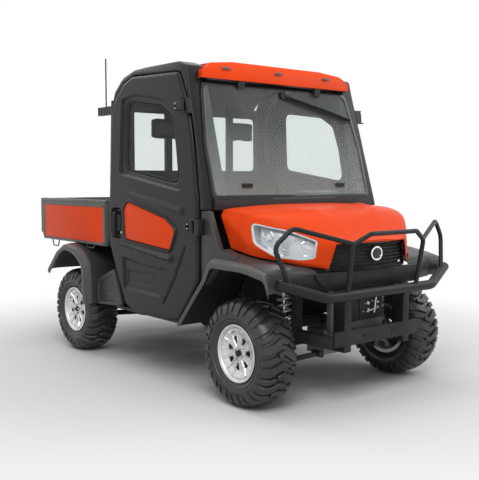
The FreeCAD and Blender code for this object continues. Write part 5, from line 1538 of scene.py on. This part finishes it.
def makeTailgate():
    look = bedLook
    softCopy("tailgatePanel", "tailgate", "bedFrameGrey", 0.004, "tailgate", shapeLook["sharp"])
    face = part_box("tailgate")[1].y
    loop = softCorners(corners(*look["gateInlay"]), 0.012, 3)
    panel = outlineSolid("gateInlay", loop, [], -0.001, 0.004, 0.0015, standing(face), "orangeGloss")
    mount(panel, "tailgate", "orange_paint")
    (x0, z0), (x1, z1) = look["latch"]
    spot = (x0, face, z0), (x1, face + look["latchOut"], z1)
    mount(roundedBox("gateLatch", *spot, 0.005, "satinBlack"), "tailgate", "guard_black")


makeBedInlays()
makeBedSides()
makeBedFloor()
makeTailgate()
print("bed made")


damperLook = {
    "lines": [  # foot and head of the front and the rear dampers
        ((0.42, -1.105, 0.2405), (0.39, -1.063, 0.7625)), ((0.391, 1.041, 0.2735), (0.306, 1.041, 0.805)),
    ],
    "turns": 8, "turnSteps": 18, "radius": 0.041, "wire": 0.0065, "from": 0.34, "to": 0.92,
    "rod": 0.011, "body": 0.026, "bodyShare": (0.05, 0.55),
    "seat": (0.05, 0.005, 0.002), "seatShares": (0.325, 0.932),  # radius, half height, softened edge
}


def coilSpring(foot, head):
    look = damperLook
    across = (head - foot).normalized().cross(Vector((0, 1, 0))).normalized()
    other = (head - foot).normalized().cross(across)
    route = []
    steps = look["turns"] * look["turnSteps"]
    for k in range(steps + 1):
        share = look["from"] + (look["to"] - look["from"]) * k / steps
        turn = math.tau * look["turns"] * k / steps
        out = (across * math.cos(turn) + other * math.sin(turn)) * look["radius"]
        route.append(foot.lerp(head, share) + out)
    return pipePiece("coil", route, look["wire"], "springSilver", 0.0, 8)


def makeDampers():
    look = damperLook
    pieces = []
    for side in (1, -1):
        for line in look["lines"]:
            foot, head = (Vector((side * x, y, z)) for x, y, z in line)
            pieces.append(coilSpring(foot, head))
            pieces.append(pipePiece("rod", [foot, head], look["rod"], "zincSteel", 0.0, 12))
            body = [foot.lerp(head, share) for share in look["bodyShare"]]
            pieces.append(pipePiece("body", body, look["body"], "satinBlack", 0.0, 16))
            for share in look["seatShares"]:
                spot = rod(*look["seat"]), foot.lerp(head, share), (head - foot).normalized()
                pieces.append(turnedPiece("seat", *spot, "satinBlack", 28, False))
    mount(mergePieces("damperUnits", pieces), "vehicle", nodeSlots["dampers"], "dampers")


frontLook = {
    "seed": 7,
    "core": ((-0.2, -1.345, 0.47), (-0.03, -1.3, 0.68)),
    "plate": ((-0.01, -1.332, 0.47), (0.215, -1.3, 0.67)),
    "fins": 16, "finAcross": (-0.19, -0.04), "finAlong": (-1.351, -1.343), "finUp": (0.49, 0.66),
    "finHalf": 0.0015,
    "rows": 3, "columns": 5, "first": (0.02, 0.53), "step": (0.042, 0.05), "face": -1.336,
    "jitter": (0.01, 0.012), "tilt": (0.4, -1, 0.3), "sizes": (0.006, 0.014),
    "bolt": [(0, 0), (1, 0), (1, 0.55), (0.9, 0.7), (0, 0.72)],
    "links": [  # across and up at both ends
        (0.0, 0.64, 0.07, 0.655), (0.08, 0.65, 0.18, 0.6), (0.03, 0.52, 0.14, 0.54), (0.1, 0.51, 0.12, 0.64),
    ],
}
random.seed(frontLook["seed"])


def makeFrontBits():
    # the cooler between the bumper posts, with the fittings beside it
    look = frontLook
    pieces = [roundedBox("core", *look["core"], 0.008, "frameBlack")]
    (x0, x1), (y0, y1), half = look["finAcross"], look["finAlong"], look["finHalf"]
    for z in np.linspace(*look["finUp"], look["fins"]):
        pieces.append(roundedBox("fin", (x0, y0, z - half), (x1, y1, z + half), 0.0006, "frameBlack", 1))
    pieces.append(roundedBox("plate", *look["plate"], 0.006, "frameBlack"))
    mount(mergePieces("coolerBlock", pieces), "vehicle", "cast_grey")
    (firstX, firstZ), (stepX, stepZ) = look["first"], look["step"]
    (loose, looseUp), (lean, out, up) = look["jitter"], look["tilt"]
    fittings = []
    for row in range(look["rows"]):
        for column in range(look["columns"]):
            x = firstX + column * stepX + random.uniform(-loose, loose)
            z = firstZ + row * stepZ + random.uniform(-looseUp, looseUp)
            axis = (random.uniform(-lean, lean), out, up)
            size = random.uniform(*look["sizes"])
            bolt = [(size * reach, size * rise) for reach, rise in look["bolt"]]
            fittings.append(turnedPiece("bolt", bolt, (x, look["face"], z), axis, "zincSteel", 6, False))
    for x0, z0, x1, z1 in look["links"]:
        fittings.append(pipePiece("link", [(x0, -1.35, z0), (x1, -1.352, z1)], 0.006, "zincSteel", 0.0, 8))
    mount(mergePieces("frontFittings", fittings), "vehicle", "steel_bright")


tailLook = {"lens": (0.412, 0.503), "rim": (0.41, 0.505), "rimDepth": 0.016, "lensIn": (0.006, 0.004)}


def makeTailLamps():
    look = tailLook
    low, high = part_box("tail_lamps")
    back, edge = look["lensIn"]
    lensUp, rimUp = (low.z + edge, high.z - edge), (low.z, high.z)
    lensAlong, rimAlong = (low.y + back, high.y), (low.y, low.y + look["rimDepth"])
    lenses, rims = [], []
    for side in (1, -1):
        lenses.append(sideBox("lens", side, look["lens"], lensAlong, lensUp, 0.008, "redLens"))
        rims.append(sideBox("rim", side, look["rim"], rimAlong, rimUp, 0.005, "satinBlack"))
    mount(mergePieces("tailLenses", lenses), "vehicle", nodeSlots["tail_lamps"], "tail_lamps")
    mount(mergePieces("tailRims", rims), "vehicle", "guard_black")


wiperLook = {"from": (0.06, -0.596, 1.868), "to": (0.612, -0.63, 1.742), "lift": (0, -0.016, 0.004)}


def makeWiper():
    # the blade lies a little in front of the glass
    start, end, lift = (Vector(wiperLook[key]) for key in ("from", "to", "lift"))
    blade = [start + lift, end + lift]
    spine = [start + lift * 1.5, start.lerp(end, 0.5) + lift * 1.8, end + lift * 1.5]
    pieces = [pipePiece("blade", blade, 0.006, "gripRubber", 0.0, 8)]
    pieces.append(pipePiece("spine", spine, 0.0045, "satinBlack", 0.0, 8))
    mount(mergePieces("wiperBlade", pieces), "vehicle", "guard_black")


makeDampers()
makeFrontBits()
makeTailLamps()
makeWiper()
print("small parts made")


cadFinishes = {  # what stays as the CAD made it
    "half_shafts": "gripRubber",
    "knuckle_left": "castGrey",
    "knuckle_right": "castGrey",
    "steering_rack": "zincSteel",
    "steering_wheel": "gripRubber",
    "windscreen_fittings": "satinBlack",
    "brush_guard": "satinBlack",
    "hoist_barrel": "satinBlack",
    "hoist_rod": "chromeTrim",
    "antenna": "satinBlack",
}
for node, finish in cadFinishes.items():
    cadNodes[node].data.materials.clear()
    wear(cadNodes[node], finish)
print("CAD nodes finished:", len(cadFinishes))

studio = {
    "floorReach": 60.0, "floorColour": (0.86, 0.86, 0.86), "fade": (1.5, 4.0), "fill": 0.34,
    "lamps": [  # place, what it faces, width, power
        ((-3.4, -4.2, 5.2), (0, -0.2, 0.9), 3.2, 175),
        ((4.6, -3.4, 4.2), (0, -0.2, 0.9), 3.0, 60),
        ((-1.0, 4.8, 4.6), (0, 0.2, 0.9), 3.4, 60),
        ((0.0, -0.4, 6.4), (0, 0, 0), 4.2, 105),
    ],
}
viewpoint = {"place": (-3.525, -4.534, 1.329), "target": (0.0, -0.155, 0.888), "lens": 58.55, "sensor": 36.0}
white = (1, 1, 1, 1)


def backdropRay(tree):
    # rays that see the plain white backdrop
    path = addNode(tree, "LightPath", {})
    seen = path.outputs["Is Camera Ray"]
    for ray in ("Is Glossy Ray", "Is Transmission Ray"):
        seen = addNode(tree, "Math", {0: seen, 1: path.outputs[ray]}, operation="MAXIMUM").outputs[0]
    return seen


def makeWorld():
    world = bpy.data.worlds.new("softRoom")
    bpy.context.scene.world = world
    world.use_nodes = True
    tree = world.node_tree
    backdrop = addNode(tree, "Background", {"Strength": 1.0, "Color": white})
    fill = tree.nodes["Background"]
    fill.inputs["Color"].default_value = white
    fill.inputs["Strength"].default_value = studio["fill"]
    mixShaders(tree, backdropRay(tree), fill, backdrop, "World Output")


def makeFloor():
    reach = studio["floorReach"]
    mesh = bpy.data.meshes.new("studioFloor")
    corners = [(-reach, -reach, 0), (reach, -reach, 0), (reach, reach, 0), (-reach, reach, 0)]
    mesh.from_pydata(corners, [], [(0, 1, 2, 3)])
    floor = bpy.data.objects.new("studioFloor", mesh)
    bpy.context.scene.collection.objects.link(floor)
    made, tree, shader = newMaterial("studioPaper")
    shader.inputs["Base Color"].default_value = (*studio["floorColour"], 1)
    shader.inputs["Roughness"].default_value = 0.9
    shader.inputs["Specular IOR Level"].default_value = 0.0
    away = addNode(tree, "VectorMath", {0: objectCoords(tree)}, operation="LENGTH").outputs["Value"]
    fade = rangeNode(tree, away, *studio["fade"], 0.0, 1.0, interpolation_type="SMOOTHSTEP")
    gate = addNode(tree, "Math", {0: fade, 1: backdropRay(tree)}, operation="MULTIPLY").outputs[0]
    mixShaders(tree, gate, shader, addNode(tree, "Emission", {"Color": white}), "Material Output")
    mesh.materials.append(made)


def addAimed(name, data, place, target):
    thing = bpy.data.objects.new(name, data)
    bpy.context.scene.collection.objects.link(thing)
    thing.location = place
    thing.rotation_euler = (Vector(target) - Vector(place)).to_track_quat("-Z", "Y").to_euler()
    return thing


def makeLamps():
    for index, (place, target, width, power) in enumerate(studio["lamps"]):
        data = bpy.data.lights.new(f"softLamp{index}", "AREA")
        data.size = width
        data.energy = power
        addAimed(f"softLamp{index}", data, place, target)


def makeCamera():
    data = bpy.data.cameras.new("camera")
    data.lens = viewpoint["lens"]
    data.sensor_width = viewpoint["sensor"]
    bpy.context.scene.camera = addAimed("camera", data, viewpoint["place"], viewpoint["target"])


makeWorld()
makeFloor()
makeLamps()
makeCamera()
bpy.context.scene.view_settings.view_transform = "Standard"
print("studio set")
